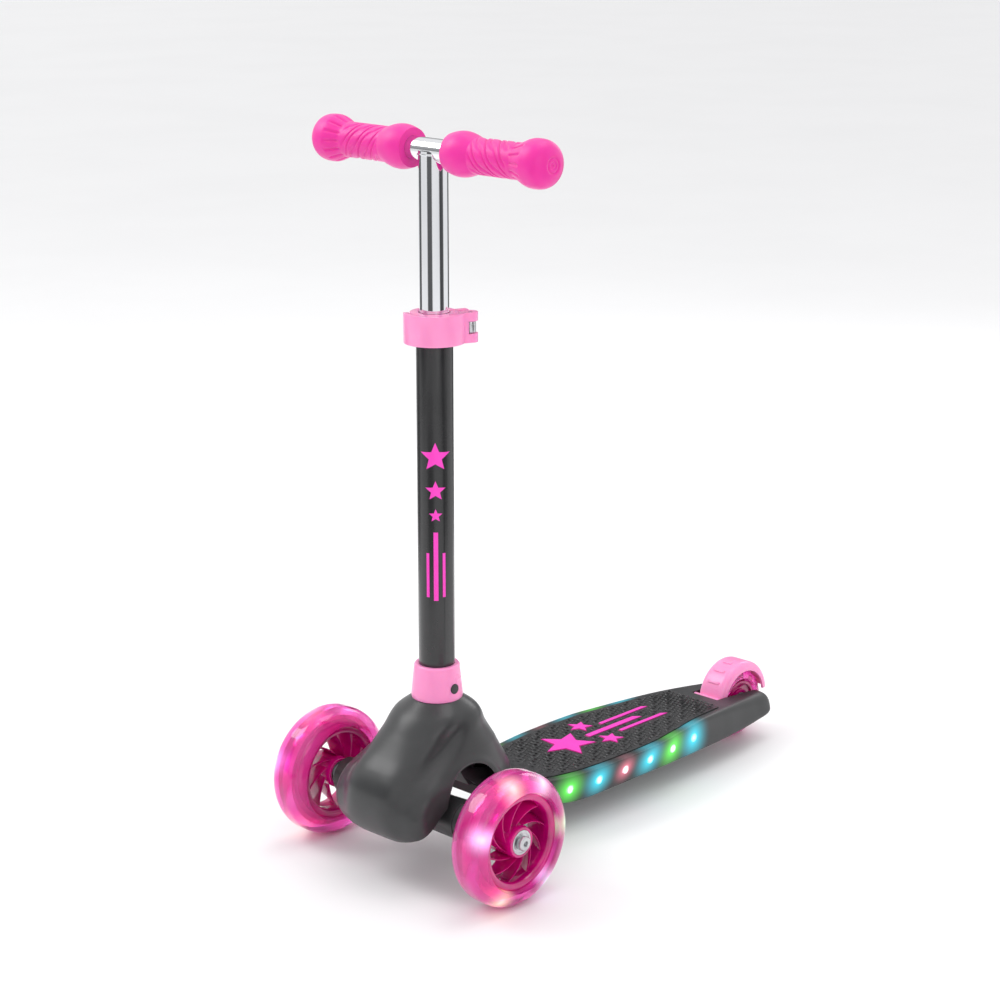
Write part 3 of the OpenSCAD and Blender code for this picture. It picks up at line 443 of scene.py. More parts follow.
def add_glows(material, spots, strength):
    """Paints the light of several lamps into a material's emission colour: (centre, reach, core, colour) for
    each.
    """
    tree = material.node_tree
    node = builder(tree)
    total = None
    for centre, reach, core, tint in spots:
        lamp = {"Centre": tuple(centre), "Reach": reach, "Core": core, "Tint": (*tint, 1)}
        light = node("ShaderNodeGroup", lamp, node_tree=GLOW).outputs["Color"]
        if total is not None:
            both = {"Factor": 1, "A": total, "B": light}
            light = node("ShaderNodeMix", both, data_type="RGBA", blend_type="ADD").outputs["Result"]
        total = light
    shader = tree.nodes["Principled BSDF"]
    tree.links.new(total, shader.inputs["Emission Color"])
    shader.inputs["Emission Strength"].default_value = strength


CHARCOAL = (0.030, 0.031, 0.032)
plastic = {
    "deck": finish("deck_plastic", CHARCOAL, (0.042, 0.043, 0.045), gloss=0.42, spread=0.2, grain=1400,
                   depth=0.2),
    "head": finish("head_plastic", CHARCOAL, (0.04, 0.041, 0.043), gloss=0.33, spread=0.2, grain=1600,
                   depth=0.1),
    "black": finish("black_plastic", (0.03, 0.03, 0.032), (0.045, 0.045, 0.047), gloss=0.5, grain=1200,
                    depth=0.3),
    "pale": finish("pale_pink_plastic", (0.96, 0.3, 0.58), (0.9, 0.24, 0.54), gloss=0.3, spread=0.15,
                   patch=18, grain=1500, depth=0.06, Coat_Weight=0.25, Coat_Roughness=0.15,
                   Subsurface_Weight=0.15, Subsurface_Scale=0.004),
}
rubber = {
    "pad": finish("pad_rubber", (0.016, 0.016, 0.017), (0.05, 0.05, 0.052), amount=0.8, patch=160, gloss=0.42,
                  spread=0.3, grain=1800, depth=0.5),
    "grip": finish("grip_rubber", (0.82, 0.008, 0.33), (0.7, 0.004, 0.27), patch=22, gloss=0.42, spread=0.2,
                   grain=2200, depth=0.2, Sheen_Weight=0.2, Subsurface_Weight=0.12, Subsurface_Scale=0.003),
    "bush": finish("bush_rubber", (0.2, 0.2, 0.22), gloss=0.6, grain=1500, depth=0.3),
}
metal = {
    "chrome": finish("chrome_plate", (0.83, 0.84, 0.86), (0.76, 0.77, 0.8), patch=12, gloss=0.07, spread=0.08,
                     grain=500, depth=0.01, Metallic=1.0),
    "steel": finish("zinc_steel", (0.6, 0.6, 0.62), (0.42, 0.42, 0.45), patch=90, gloss=0.3, spread=0.25,
                    grain=2600, depth=0.15, Metallic=1.0),
    "tube": finish("black_powder_coat", (0.012, 0.012, 0.013), (0.02, 0.02, 0.021), gloss=0.26, spread=0.12,
                   grain=3000, depth=0.22, Coat_Weight=0.3, Coat_Roughness=0.25),
    "magnet": finish("ferrite", (0.09, 0.09, 0.1), gloss=0.5, grain=2000, depth=0.4, Metallic=0.6),
    "cell": finish("battery_sleeve", (0.7, 0.55, 0.15), gloss=0.25, grain=800, depth=0.05, Metallic=0.5),
}
printed = {
    "pink": finish("pink_print", (0.95, 0.05, 0.56), (0.9, 0.035, 0.48), patch=40, gloss=0.35, spread=0.1,
                   grain=1800, depth=0.08),
    "edge": finish("magenta_print", (0.42, 0.0, 0.16), (0.3, 0.0, 0.1), patch=60, gloss=0.4, grain=1800,
                   depth=0.08),
    "board": finish("solder_mask", (0.02, 0.16, 0.06), gloss=0.25, grain=900, depth=0.05),
}
print("finishes", len(plastic) + len(rubber) + len(metal) + len(printed))


def dress(thing, material):
    """Gives a piece one material, in place of any it came with."""
    thing.data.materials.clear()
    thing.data.materials.append(material)
    return thing


# %% [markdown]
# ## Softened copies of the exact parts
#
# A moulded clamp or a turned bolt has no razor edges. The exact parts do, and their faces are
# loose triangles. So each hard part that shows gets a copy: its points are merged, its flat
# triangles joined, and a small bevel rounds its edges, as a mould or a file would.


# %% Softened copies
def softened(node, width, material, crease=32):
    """A merged, bevelled copy of an exact part, which then stands for it."""
    copy = bpy.data.meshes.new(node + "_soft")
    source = NODES[node]
    thing = bpy.data.objects.new(node + "_soft", copy)
    scene.collection.objects.link(thing)
    build = bmesh.new()
    build.from_mesh(source.data)
    bmesh.ops.remove_doubles(build, verts=build.verts, dist=2e-6)
    bmesh.ops.dissolve_limit(build, angle_limit=math.radians(0.6), verts=build.verts, edges=build.edges)
    build.to_mesh(copy)
    build.free()
    if width:
        bevel = thing.modifiers.new("edge", "BEVEL")
        bevel.width, bevel.segments, bevel.limit_method = width, 2, "ANGLE"
        bevel.angle_limit = math.radians(crease)
        bevel.use_clamp_overlap = True
        apply_modifiers(thing)
    shade(thing.data, crease)
    dress(thing, material)
    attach(thing, NODES[node]["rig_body"])
    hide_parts(node)
    return thing


SOFT_PARTS = [
    (("clamp_collar",), 0.8, plastic["pale"], "pale_pink"),
    (("clamp_lever",), 1.3, plastic["pale"], "pale_pink"),
    (("lower_collar",), 0.5, plastic["pale"], "pale_pink"),
    (("column_tube",), 0.15, metal["tube"], "black_tube"),
    (("column_bush", "release_button", "battery_cover", "stem_plug"), 0.25, plastic["black"],
     "black_plastic"),
    (("axle_yoke",), 0.8, plastic["head"], "deck_plastic"),
    (("deck_base", "head_frame", "rear_axle_blocks"), 0.0, plastic["black"], "black_plastic"),
    (("left_axle_bolt", "right_axle_bolt", "clamp_bolt", "clamp_nut", "rear_axle"), 0.25, metal["steel"],
     "steel"),
    (("left_bearings", "right_bearings", "rear_bearings"), 0.1, metal["steel"], "steel"),
    (("column_graphic",), 0.0, printed["pink"], "pink_print"),
]
for nodes, width, material, slot in SOFT_PARTS:
    for node in nodes:
        made = softened(node, width * MM, material)
        print("softened", node, len(made.data.polygons), "faces")

# %% Finishes of the parts that stay as they are
PLAIN_PARTS = {
    "base_screws": metal["steel"], "head_screws": metal["steel"], "block_screws": metal["steel"],
    "kingpin": metal["steel"], "kingpin_nut": metal["steel"], "lever_pin": metal["steel"],
    "button_spring": metal["steel"], "brake_spring": metal["steel"], "brake_pin": metal["steel"],
    "axle_sleeve": metal["steel"], "steer_bushes": rubber["bush"], "battery_box": plastic["black"],
    "batteries": metal["cell"], "left_light_board": printed["board"], "right_light_board": printed["board"],
    "left_magnet_ring": metal["magnet"], "right_magnet_ring": metal["magnet"],
}
for node, material in PLAIN_PARTS.items():
    dress(NODES[node], material)

# %% [markdown]
# ## Deck
#
# The deck is one moulding: a shallow tray turned upside down, narrow where it runs into the head,
# widest under the rider's foot, and sloping to a rounded tail with a slot for the rear wheel. Its
# cross-section is a four-sided outline with rounded corners, and a short table says how that
# outline changes from front to back. The slot, the pad's seat and the lamp holes are then cut out,
# which is how a mould maker thinks of them too.

# %% Deck outline
DECK_TOP, DECK_FLOOR = 55 * MM, 24 * MM
TAIL = WHEELBASE + 21 * MM
BASE = WHEELBASE / MM
# distance behind the front axle, half width at the top and at the floor, rise of the top and of
# the floor, radius of the top edge, in millimetres
DECK_TABLE = np.array([
    [62, 29, 26, 6, 27, 5], [85, 34, 31, 5, 22, 5], [108, 42, 39, 3, 14, 5], [135, 50, 46, 0.8, 5, 4],
    [165, 55.5, 49, 0, 0.5, 3], [200, 58.5, 50, 0, 0, 2.5], [265, 58.5, 50, 0, 0, 2.5],
    [BASE - 144, 53, 49.5, 0, 0, 3], [BASE - 106, 47, 48.5, 0, 0, 4], [BASE - 71, 43, 47, -1.5, 0, 5],
    [BASE - 39, 39, 44.5, -3.5, 0.2, 7], [BASE - 8, 34.5, 41.5, -6, 1.5, 9],
    [BASE + 15, 31.5, 38.5, -8, 4, 10], [BASE + 21, 27.5, 33, -11, 10, 7],
]) * MM


def unit(v):
    """Vectors scaled to length 1."""
    return v / np.linalg.norm(v, axis=-1, keepdims=True)


def rounded_rings(corners, radii, arc=7, flat=9):
    """Closed outlines (n, m, 2) from corners (n, 4, 2): a quadratic arc at each corner, and evenly
    spaced points along the straight between two arcs."""
    before, after = np.roll(corners, 1, 1) - corners, np.roll(corners, -1, 1) - corners
    a = corners + unit(before) * radii[..., None]
    b = corners + unit(after) * radii[..., None]
    rows = []
    for i in range(corners.shape[1]):
        t = np.linspace(0, 1, arc)[None, :, None]
        rows.append((1 - t) ** 2 * a[:, i:i + 1] + 2 * t * (1 - t) * corners[:, i:i + 1]
                    + t**2 * b[:, i:i + 1])
        u = np.linspace(0, 1, flat + 2)[None, 1:-1, None]
        following = a[:, (i + 1) % corners.shape[1]][:, None]
        rows.append((1 - u) * b[:, i:i + 1] + u * following)
    return np.concatenate(rows, 1)


def deck_rings(s, side=0.0, top=0.0, low=0.0, arc=7):
    """Rings of the deck at distances s behind the axle, drawn in by side at each side and by top
    at the top, with the underside raised by low."""
    wt, wb = curve(s, DECK_TABLE, 1) - side, curve(s, DECK_TABLE, 2) - side
    zt = DECK_TOP + curve(s, DECK_TABLE, 3) - top
    zb = DECK_FLOOR + curve(s, DECK_TABLE, 4) + low
    rt = np.maximum(curve(s, DECK_TABLE, 5) - side / 2, 1 * MM)
    corners = np.stack([np.stack([wt, zt], -1), np.stack([-wt, zt], -1), np.stack([-wb, zb], -1),
                        np.stack([wb, zb], -1)], 1)
    radii = np.stack([rt, rt, np.full_like(rt, 5 * MM), np.full_like(rt, 5 * MM)], 1)
    flat = rounded_rings(corners, radii, arc)
    x = np.broadcast_to((FRONT_AXLE[0] - s)[:, None], flat.shape[:2])
    return np.concatenate([x[..., None], flat], -1)


def deck_volume(start, end, step, side=0.0, top=0.0, low=0.0, arc=7):
    """Points and faces of the deck's form between two distances behind the axle."""
    rings = deck_rings(np.linspace(start, end, int(round((end - start) / step)) + 1), side, top, low, arc)
    return rings.reshape(-1, 3), loft_faces(*rings.shape[:2])


PAD_FRONT, PAD_BACK = 112 * MM, WHEELBASE - 64 * MM


def pad_half(s):
    """Half width of the pad: a straight taper at the front, then 9 mm in from the deck's edge."""
    return np.minimum(curve(s, DECK_TABLE, 1) - 9 * MM, 12 * MM + 1.6 * (s - PAD_FRONT + 14 * MM))


def pad_volume(low, high, grow, rows=60):
    """Slab between two heights over the deck's top, with the pad's outline grown on every side."""
    s = np.linspace(PAD_FRONT - grow, PAD_BACK + grow, rows)
    w = pad_half(np.clip(s, PAD_FRONT, PAD_BACK)) + grow
    z = DECK_TOP + curve(s, DECK_TABLE, 3)
    x = FRONT_AXLE[0] - s
    corners = ((1, high), (-1, high), (-1, low), (1, low))
    rings = np.stack([np.stack([x, k * w, z + h], -1) for k, h in corners], 1)
    return rings.reshape(-1, 3), loft_faces(rows, 4)


# %% Deck moulding
LIGHT_Z = 42 * MM
LIGHT_X = [FRONT_AXLE[0] - (148 + 36 * i) * MM for i in range(6)]
SLOT_HALF, SLOT_FRONT = 16.8 * MM, FRONT_AXLE[0] - (BASE - 46) * MM
points, faces = deck_volume(62 * MM, TAIL, 2.5 * MM)
deck = piece("deck_moulding", points, faces, "chassis", ["deck_shell"])
cuts = [
    deck_volume(122 * MM, WHEELBASE - 52 * MM, 12 * MM, 3 * MM, 3 * MM, -12 * MM, 3),
    pad_volume(-1.15 * MM, 6 * MM, 0.4 * MM),
    block([FRONT_AXLE[0] - 0.14, -0.06, 0.0615], [FRONT_AXLE[0] - 0.04, 0.06, 0.09]),
    block([FRONT_AXLE[0] - TAIL - 0.005, -SLOT_HALF, 0], [SLOT_FRONT, SLOT_HALF, 0.09]),
]
for x in LIGHT_X:
    for side in (-1, 1):
        cuts.append(rod(4.1 * MM, (x, side * 0.04, LIGHT_Z), (x, side * 0.08, LIGHT_Z), 32))
for side in (-1, 1):
    near, far = sorted((side * (SLOT_HALF - 0.001), side * (SLOT_HALF + 0.012)))
    cuts.append(block([REAR_AXLE[0] - 4.05 * MM, near, 0], [REAR_AXLE[0] + 4.05 * MM, far, REAR_AXLE[2]]))
    cuts.append(rod(4.05 * MM, (REAR_AXLE[0], near, REAR_AXLE[2]), (REAR_AXLE[0], far, REAR_AXLE[2])))
carve(deck, cuts)
shade(deck.data, 35)
dress(deck, plastic["deck"])
print("deck", len(deck.data.polygons), "faces")

# %% Lamps along the deck, with their glow painted on
GREEN, CYAN, ROSE = (0.12, 1.0, 0.08), (0.02, 0.75, 0.95), (0.9, 0.2, 0.3)
DECK_TINTS = [GREEN, CYAN, ROSE, CYAN, GREEN, CYAN]
DECK_REACH = [0.026, 0.027, 0.02, 0.029, 0.029, 0.031]
spots = []
for x, tint, reach in zip(LIGHT_X, DECK_TINTS, DECK_REACH):
    y = float(curve(np.array([FRONT_AXLE[0] - x]), DECK_TABLE, 1)[0]) - 2 * MM
    for side in (-1, 1):
        spots.append(((x, side * y, LIGHT_Z), reach, 0.0055, tint))
# Painted light: each lamp's glow is painted into the deck plastic's emission colour as a halo round its hole.
add_glows(plastic["deck"], spots, 1.5)
lens = finish("lamp_lens", (0.7, 0.95, 0.9), amount=0.1, gloss=0.1, depth=0.02, Transmission_Weight=0.4)
add_glows(lens, [(c, 0.016, 0.0042, t) for c, r, k, t in spots], 1.7)
for node in ("left_light_lenses", "right_light_lenses"):
    dress(NODES[node], lens)

# %% [markdown]
# ## Grip pad
#
# The pad is a rubber sheet let into the deck, covered with small raised chips so that a wet shoe
# doesn't slip. Each chip is a low wedge with a slanting top, and neighbours slant different ways,
# which gives the pad its sparkle. There are hundreds, so each has only a few faces, and all of them
# are worked out at once from one wedge. The inlay of stars and bars stands in a clearing.


# %% Inlay outlines
def star(centre, radius):
    """Ten points of a five-pointed star whose inner corners are at 0.45 of its radius."""
    t = np.radians(36) * np.arange(10)
    r = np.where(np.arange(10) % 2 == 0, radius, 0.45 * radius)
    return np.stack([centre[0] + r * np.cos(t), centre[1] + r * np.sin(t)], 1)


def slanted_bar(front, y, length, half, slant):
    """Four corners of a bar that runs back from front, with a slanting tail."""
    return np.array([[front, y - half], [front - length, y - half], [front - length - slant, y + half],
                     [front, y + half]])


INLAY_X = FRONT_AXLE[0] / MM - 252
INLAYS = [
    star((INLAY_X + 48, -4), 27), star((INLAY_X + 8, 16), 12), star((INLAY_X + 6, -26), 12),
    slanted_bar(INLAY_X + 19, -4, 69, 3, 6), slanted_bar(INLAY_X - 14, 9, 62, 2, 5),
    slanted_bar(INLAY_X - 14, -17, 62, 2, 5),
]


def outline_distance(p, outline):
    """Signed distance of points (n, 2) from a closed outline, negative inside: the shortest way to
    any side, with the sign from how often a ray along X crosses the outline."""
    a, b = outline, np.roll(outline, -1, 0)
    ab = b - a
    t = np.clip(((p[:, None] - a) * ab).sum(-1) / (ab**2).sum(-1), 0, 1)
    nearest = np.linalg.norm(p[:, None] - (a + t[..., None] * ab), axis=-1).min(1)
    spans = (a[:, 1] > p[:, None, 1]) != (b[:, 1] > p[:, None, 1])
    with np.errstate(divide="ignore", invalid="ignore"):
        crossing = a[:, 0] + (p[:, None, 1] - a[:, 1]) / ab[:, 1] * ab[:, 0]
    inside = (spans & (p[:, None, 0] < crossing)).sum(1) % 2 == 1
    return np.where(inside, -nearest, nearest)


# %% Pad and chips
CHIP_X, CHIP_Y = 5.4, 4.6


def chip_grid():
    """Places of the chips: rows across the pad, every other row shifted by half a pitch, kept
    inside the pad's edge and clear of the inlay."""
    front, back = (FRONT_AXLE[0] - PAD_FRONT) / MM, (FRONT_AXLE[0] - PAD_BACK) / MM
    xs = np.arange(back + 4, front - 3, CHIP_X)
    ys = np.arange(-55, 55, CHIP_Y)
    x, y = np.meshgrid(xs, ys, indexing="ij")
    y = y + (np.arange(len(xs)) % 2)[:, None] * CHIP_Y / 2
    p = np.stack([x.ravel(), y.ravel()], 1)
    edge = pad_half(FRONT_AXLE[0] - p[:, 0] * MM) / MM - 3.6
    near = np.min([outline_distance(p, o) for o in INLAYS], axis=0)
    return p[(np.abs(p[:, 1]) < edge) & (near > 3.4)]


def chips(places):
    """Points and faces of all wedges. One wedge is a lozenge 4.6 by 3.6 mm whose top slants from
    0.3 to 1.1 mm above the sheet; each copy is turned by one of four quarter turns picked from its
    row and column."""
    lozenge = np.array([[-2.3, 0], [-0.6, -1.8], [2.3, -0.4], [0.8, 1.8]])
    quarter = (np.round(places[:, 0] / CHIP_X) * 3 + np.round(places[:, 1] / CHIP_Y) * 5).astype(int) % 4
    c, s = np.cos(quarter * np.pi / 2), np.sin(quarter * np.pi / 2)
    turn = np.stack([np.stack([c, -s], -1), np.stack([s, c], -1)], 1)
    foot = np.einsum("nij,kj->nki", turn, lozenge) + places[:, None]
    head = np.einsum("nij,kj->nki", turn, lozenge * 0.72) + places[:, None]
    z_foot = np.full(foot.shape[:2], (DECK_TOP / MM + 0.7))
    z_head = z_foot + 0.3 + np.array([0.2, 0.95, 1.0, 0.3])
    points = np.concatenate([np.dstack([foot, z_foot]), np.dstack([head, z_head])], 1)
    one = np.array([[0, 1, 2, 3], [4, 7, 6, 5], [0, 4, 5, 1], [1, 5, 6, 2], [2, 6, 7, 3], [3, 7, 4, 0]])
    faces = (np.arange(len(places))[:, None, None] * 8 + one).reshape(-1, 4)
    return points.reshape(-1, 3) * MM, faces


places = chip_grid()
sheet_points, sheet_faces = pad_volume(-1 * MM, 0.9 * MM, 0.0, 90)
pad_points, pad_faces = merged(sheet_points, sheet_faces, *chips(places))
pad = piece("grip_pad_chips", pad_points, pad_faces, "chassis", ["grip_pad"], crease=20)
dress(pad, rubber["pad"])
print("pad", len(places), "chips")


# %% Inlay
def raised(outline, low, high, chamfer):
    """Points and faces of a flat shape with a chamfered top: rings at the foot, under the chamfer
    and on top, where the top ring is drawn in towards the shape's middle."""
    mid = outline.mean(0)
    inwards = mid - outline
    inner = outline + inwards * np.minimum(chamfer / np.linalg.norm(inwards, axis=1), 0.3)[:, None]
    n = len(outline)
    rings = [np.c_[outline, np.full(n, low)], np.c_[outline, np.full(n, high - chamfer)],
             np.c_[inner, np.full(n, high)]]
    points = np.concatenate(rings + [[[*mid, low]], [[*mid, high]]])
    under = [[(i + 1) % n, i, 3 * n] for i in range(n)]
    over = [[2 * n + i, 2 * n + (i + 1) % n, 3 * n + 1] for i in range(n)]
    return points * MM, skin(3, n).tolist() + under + over


def grown(outline, by):
    """The outline pushed outwards by a distance, measured from its middle."""
    away = outline - outline.mean(0)
    return outline + away / np.linalg.norm(away, axis=1)[:, None] * by


top = DECK_TOP / MM
for name, by, low, high, material in (("inlay_edge", 1.5, 0.7, 1.15, "edge"),
                                      ("inlay", 0.0, 1.0, 1.7, "pink")):
    points, faces = np.zeros((0, 3)), []
    for outline in INLAYS:
        points, faces = merged(points, faces, *raised(grown(outline, by), top + low, top + high, 0.25))
    made = piece(name, points, faces, "chassis", ["deck_emblem"], crease=20)
    dress(made, printed[material])

# %% [markdown]
# ## Head
#
# The head is the scooter's face: a hollow dome over the tilting axle, with an arch on each side
# for the arm, and a snout that runs forward and down from the collar. Its plan is a superellipse
# that changes with height, so a table again gives the reach and width, and a valley pressed into
# the surface on each side separates the snout from the shoulder over the arm.

# %% Head moulding
# height, reach ahead and behind, half width at the front and at the back, squareness
HEAD_TABLE = np.array([
    [42, 74, 76, 58, 46, 3.6], [50, 82, 77, 64, 48, 4.0], [62, 87, 77, 66, 48, 4.3],
    [76, 88, 73, 66, 48, 4.3], [90, 85, 66, 63, 48, 3.8], [102, 77, 58, 57, 46, 3.0],
    [114, 65, 51, 51, 44, 2.5], [128, 52, 44, 45, 41, 2.1], [143, 38, 37, 38, 37, 2],
    [154, 23, 23, 23, 23, 2],
])
BACK_SQUARE = 2.5
# height, direction of the valley's bottom from straight ahead in degrees, depth, width in degrees
VALLEY = np.array([
    [44, 27, 1.0, 8], [60, 25, 3.2, 8], [78, 26, 5.4, 9], [96, 31, 7.0, 10], [112, 42, 6.6, 13],
    [128, 62, 5.0, 16], [142, 84, 2.6, 18], [154, 100, 0.0, 24],
])


def head_rings(z, inset, around=288):
    """Rings of the head at heights z in mm: reach and half width of a superellipse of the given
    squareness, with the valley and a rim round the arch pressed or raised along the way."""
    a = np.linspace(0, 2 * np.pi, around, endpoint=False)
    z, a = np.meshgrid(z, a, indexing="ij")
    c, s = np.cos(a), np.sin(a)
    square = curve(z, HEAD_TABLE, 5)
    power = 2 / np.where(c >= 0, square, np.minimum(square, BACK_SQUARE))
    reach = np.where(c >= 0, curve(z, HEAD_TABLE, 1), curve(z, HEAD_TABLE, 2))
    front, back = curve(z, HEAD_TABLE, 3), curve(z, HEAD_TABLE, 4)
    half = back + (front - back) * (1 + c) / 2
    x = (reach - inset) * np.sign(c) * np.abs(c) ** power
    y = (half - inset) * np.sign(s) * np.abs(s) ** power
    bearing = np.degrees(np.arctan2(np.abs(y), x))
    off = (bearing - curve(z, VALLEY, 1)) / curve(z, VALLEY, 3)
    dent = curve(z, VALLEY, 2) * np.exp(-off**2)
    span = np.hypot(x, y)
    rim = np.hypot(x + COLUMN_BACK - ARCH[0], z - ARCH[1]) - ARCH[2]
    lip = 1.8 * np.exp(-((rim - 2.5) / 3.5) ** 2) * np.clip((bearing - 45) / 20, 0, 1)
    lip = lip * np.clip((150 - bearing) / 20, 0, 1)
    scale = (span - dent + lip) / span
    return np.stack([COLUMN[0] / MM + x * scale, y * scale, z], -1) * MM


COLUMN_BACK = (COLUMN[0] - FRONT_AXLE[0]) / MM
ARCH = (-17.0, 69.0, 36.0)
heights = np.linspace(44, 154, 128)
rings = head_rings(heights, 0.2)
head = piece("head_moulding", rings.reshape(-1, 3), loft_faces(*rings.shape[:2]), "chassis", ["head_cover"])
inner = head_rings(np.linspace(40.5, 151, 64), 3, 144)
t = np.radians(np.arange(180, 11, -6))
profile = np.concatenate([
    [[ARCH[0] - ARCH[2] - 6, 0]], np.stack([ARCH[0] + ARCH[2] * np.cos(t), ARCH[1] + ARCH[2] * np.sin(t)], 1),
    [[27, 70], [37, 60], [47, 50], [53, 0]],
]) * MM
arch = np.stack([np.c_[FRONT_AXLE[0] + profile[:, 0], np.full(len(profile), y), profile[:, 1]]
                 for y in (-0.1, 0.1)])
carve(head, [
    (inner.reshape(-1, 3), loft_faces(*inner.shape[:2])),
    (arch.reshape(-1, 3), loft_faces(*arch.shape[:2])),
    deck_volume(62 * MM, 160 * MM, 6 * MM, -0.25 * MM, -0.25 * MM, -12 * MM),
    rod(16.15 * MM, (COLUMN[0], 0, 0.1), (COLUMN[0], 0, 0.16), 96),
])
shade(head.data, 38)
dress(head, plastic["head"])
print("head", len(head.data.polygons), "faces")

# %% [markdown]
# ## Handlebar
#
# The stem and the bar are chromed tube, so they are turned surfaces with enough points round them
# that a reflection runs straight. The grips are moulded soft plastic: a flange against the thumb, a
# straight neck with slanting wavy grooves, and a round end with short notches and two rings on its
# face. One function gives the radius at a distance out along the bar, and another the depth of the
# grooves there at a given angle.

# %% Stem and bar
BAR = middle("cross_bar")
STEM_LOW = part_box("inner_stem")[0][2]
BAR_R, STEM_R = 10 * MM, 12.75 * MM


def saddle(x):
    """Height at which the stem's wall meets the bar, at distance x from the middle plane: the
    underside of a rod of radius BAR_R, and its middle height where the wall passes beside it."""
    return BAR[2] - np.sqrt(np.clip(BAR_R**2 - x**2, 0, None))


def stem_grid(around=192):
    """Four rings of the stem: outside low and high, inside high and low, the high ones coped."""
    t = np.linspace(0, 2 * np.pi, around, endpoint=False)
    rings = []
    for radius, high in ((STEM_R, False), (STEM_R, True), (STEM_R - 1.5 * MM, True),
                         (STEM_R - 1.5 * MM, False)):
        x, y = radius * np.cos(t), radius * np.sin(t)
        rings.append(np.stack([x, y, saddle(x) if high else np.full(around, STEM_LOW)], 1))
    return np.stack(rings) + [COLUMN[0], 0, 0]


def weld_bead(around=192, across=10, radius=0.9 * MM):
    """A small round bead in the corner between stem and bar: a circle of that radius carried
    along the line in which the two tubes cross."""
    t = np.linspace(0, 2 * np.pi, around, endpoint=False)
    x, y = STEM_R * np.cos(t), STEM_R * np.sin(t)
    path = np.stack([x, y, saddle(np.clip(x, -0.96 * BAR_R, 0.96 * BAR_R))], -1) + [COLUMN[0], 0, 0]
    out = np.stack([np.cos(t), np.sin(t), np.zeros_like(t)], -1)
    v = np.linspace(0, 2 * np.pi, across, endpoint=False)[None, :, None]
    return path[:, None] + radius * (np.cos(v) * out[:, None] + np.sin(v) * np.array([0, 0, 1.0]))


bead = weld_bead()
points, faces = merged(
    stem_grid().reshape(-1, 3), skin(4, 192, wrap_rows=True),
    bead.reshape(-1, 3), skin(192, bead.shape[1], wrap_rows=True),
)
stem = piece("stem_tube", points, faces, "handlebar", ["inner_stem"])
dress(stem, metal["chrome"])
bar_profile = np.array([[10, -132], [10, 132], [8.5, 132], [8.5, -132]]) * MM
bar_points = along_y(turned(bar_profile, 144), BAR)
bar = piece("bar_tube", bar_points.reshape(-1, 3), skin(4, 144, wrap_rows=True), "handlebar", ["cross_bar"])
dress(bar, metal["chrome"])
print("stem and bar made")

# %% Grips
GRIP_IN, GRIP_OUT = 24.0, 137.0
NECK_R, END_R, BULB_Y, BULB_IN, BULB_L = 15.3, 20.48, 119.0, 18.0, 18.5
GRIP_AROUND, LAST_ROWS = 288, 8


def grip_radius(y):
    """Radius in mm at distance y from the middle: a flange that rises as a sine, a straight neck,
    a swelling that rises as a sine to the power 1.5, and an end that closes as
    (1 - u^3)^0.4, where u runs from 0 at the widest place to 1 at the tip."""
    flange = NECK_R + 3.9 * np.sin(np.radians(np.clip(180 * (y - 20) / 33, 0, 180)))
    rise = np.sin(np.radians(np.clip(90 * (y - BULB_Y + BULB_IN) / BULB_IN, 0, 90))) ** 1.5
    swell = NECK_R + (END_R - NECK_R) * rise
    close = END_R * np.clip(1 - (np.clip(y - BULB_Y, 0, None) / BULB_L) ** 3, 0, 1) ** 0.4
    return np.where(y < 53, flange, np.where(y < BULB_Y, swell, close))


def smooth_step(x, low, high):
    """0 below low, 1 above high, and a smooth rise between."""
    u = np.clip((x - low) / (high - low), 0, 1)
    return u * u * (3 - 2 * u)


def grip_grooves(y, t):
    """Depth in mm cut into the grip at distance y and angle t: slanting wavy grooves on the neck,
    and fourteen short notches where the end swells."""
    phase = 2 * np.pi * y / 8.0 + 9 * t + 1.2 * np.sin(2 * np.pi * y / 15 + 2 * t)
    neck = 1.0 * (0.5 + 0.5 * np.cos(phase)) ** 4 * smooth_step(y, 53, 58) * (1 - smooth_step(y, 94, 99))
    notch = 1.3 * (0.5 + 0.5 * np.cos(14 * t)) ** 5 * smooth_step(y, 99, 104) * (1 - smooth_step(y, 113, 117))
    return neck + notch


def grip_surface(rows=420, around=GRIP_AROUND):
    """Points of a grip about Z: up the outside with its grooves, over the end, and back down the
    bore of the bar."""
    y = GRIP_IN + (GRIP_OUT - GRIP_IN) * (1 - (1 - np.linspace(0, 1, rows)) ** 1.6)
    t = np.linspace(0, 2 * np.pi, around, endpoint=False)
    yy, tt = np.meshgrid(y, t, indexing="ij")
    r = grip_radius(yy) - grip_grooves(yy, tt)
    outside = np.stack([r * np.cos(tt), r * np.sin(tt), yy], -1)
    bore = turned(np.array([[10.1, GRIP_OUT - 4.0], [10.1, GRIP_IN]]), around)
    return outside, bore


def end_face(around, r_edge, along):
    """Rings of the flat end from its edge inwards, with a groove at a radius of 6.2 mm and a
    shallower one at 2.6 mm."""
    r = np.linspace(r_edge, 0.4, 26)
    dip = 0.7 * np.exp(-((r - 6.2) / 0.8) ** 2) + 0.35 * np.exp(-((r - 2.6) / 0.6) ** 2)
    return turned(np.stack([r, along - dip], 1), around)


def grip(name, node, mirror):
    """One grip on its side of the bar: the outside, a flat end in place of its last rows, and the
    bore, joined in one ring of rows."""
    outside, bore = grip_surface()
    edge = float(np.hypot(*outside[-LAST_ROWS, 0, :2]))
    face = end_face(GRIP_AROUND, edge, float(outside[-LAST_ROWS, 0, 2]))
    body = np.concatenate([outside[:-LAST_ROWS], face[1:]])
    plug = turned(np.array([[0.4, GRIP_OUT - 4.0]]), GRIP_AROUND)
    grid = np.concatenate([body, plug, bore])
    points = along_y(grid * MM, BAR * [1, 0, 1], mirror)
    faces = skin(len(grid), GRIP_AROUND, wrap_rows=True)
    made = piece(name, points.reshape(-1, 3), faces, "handlebar", [node], crease=60)
    return dress(made, rubber["grip"])


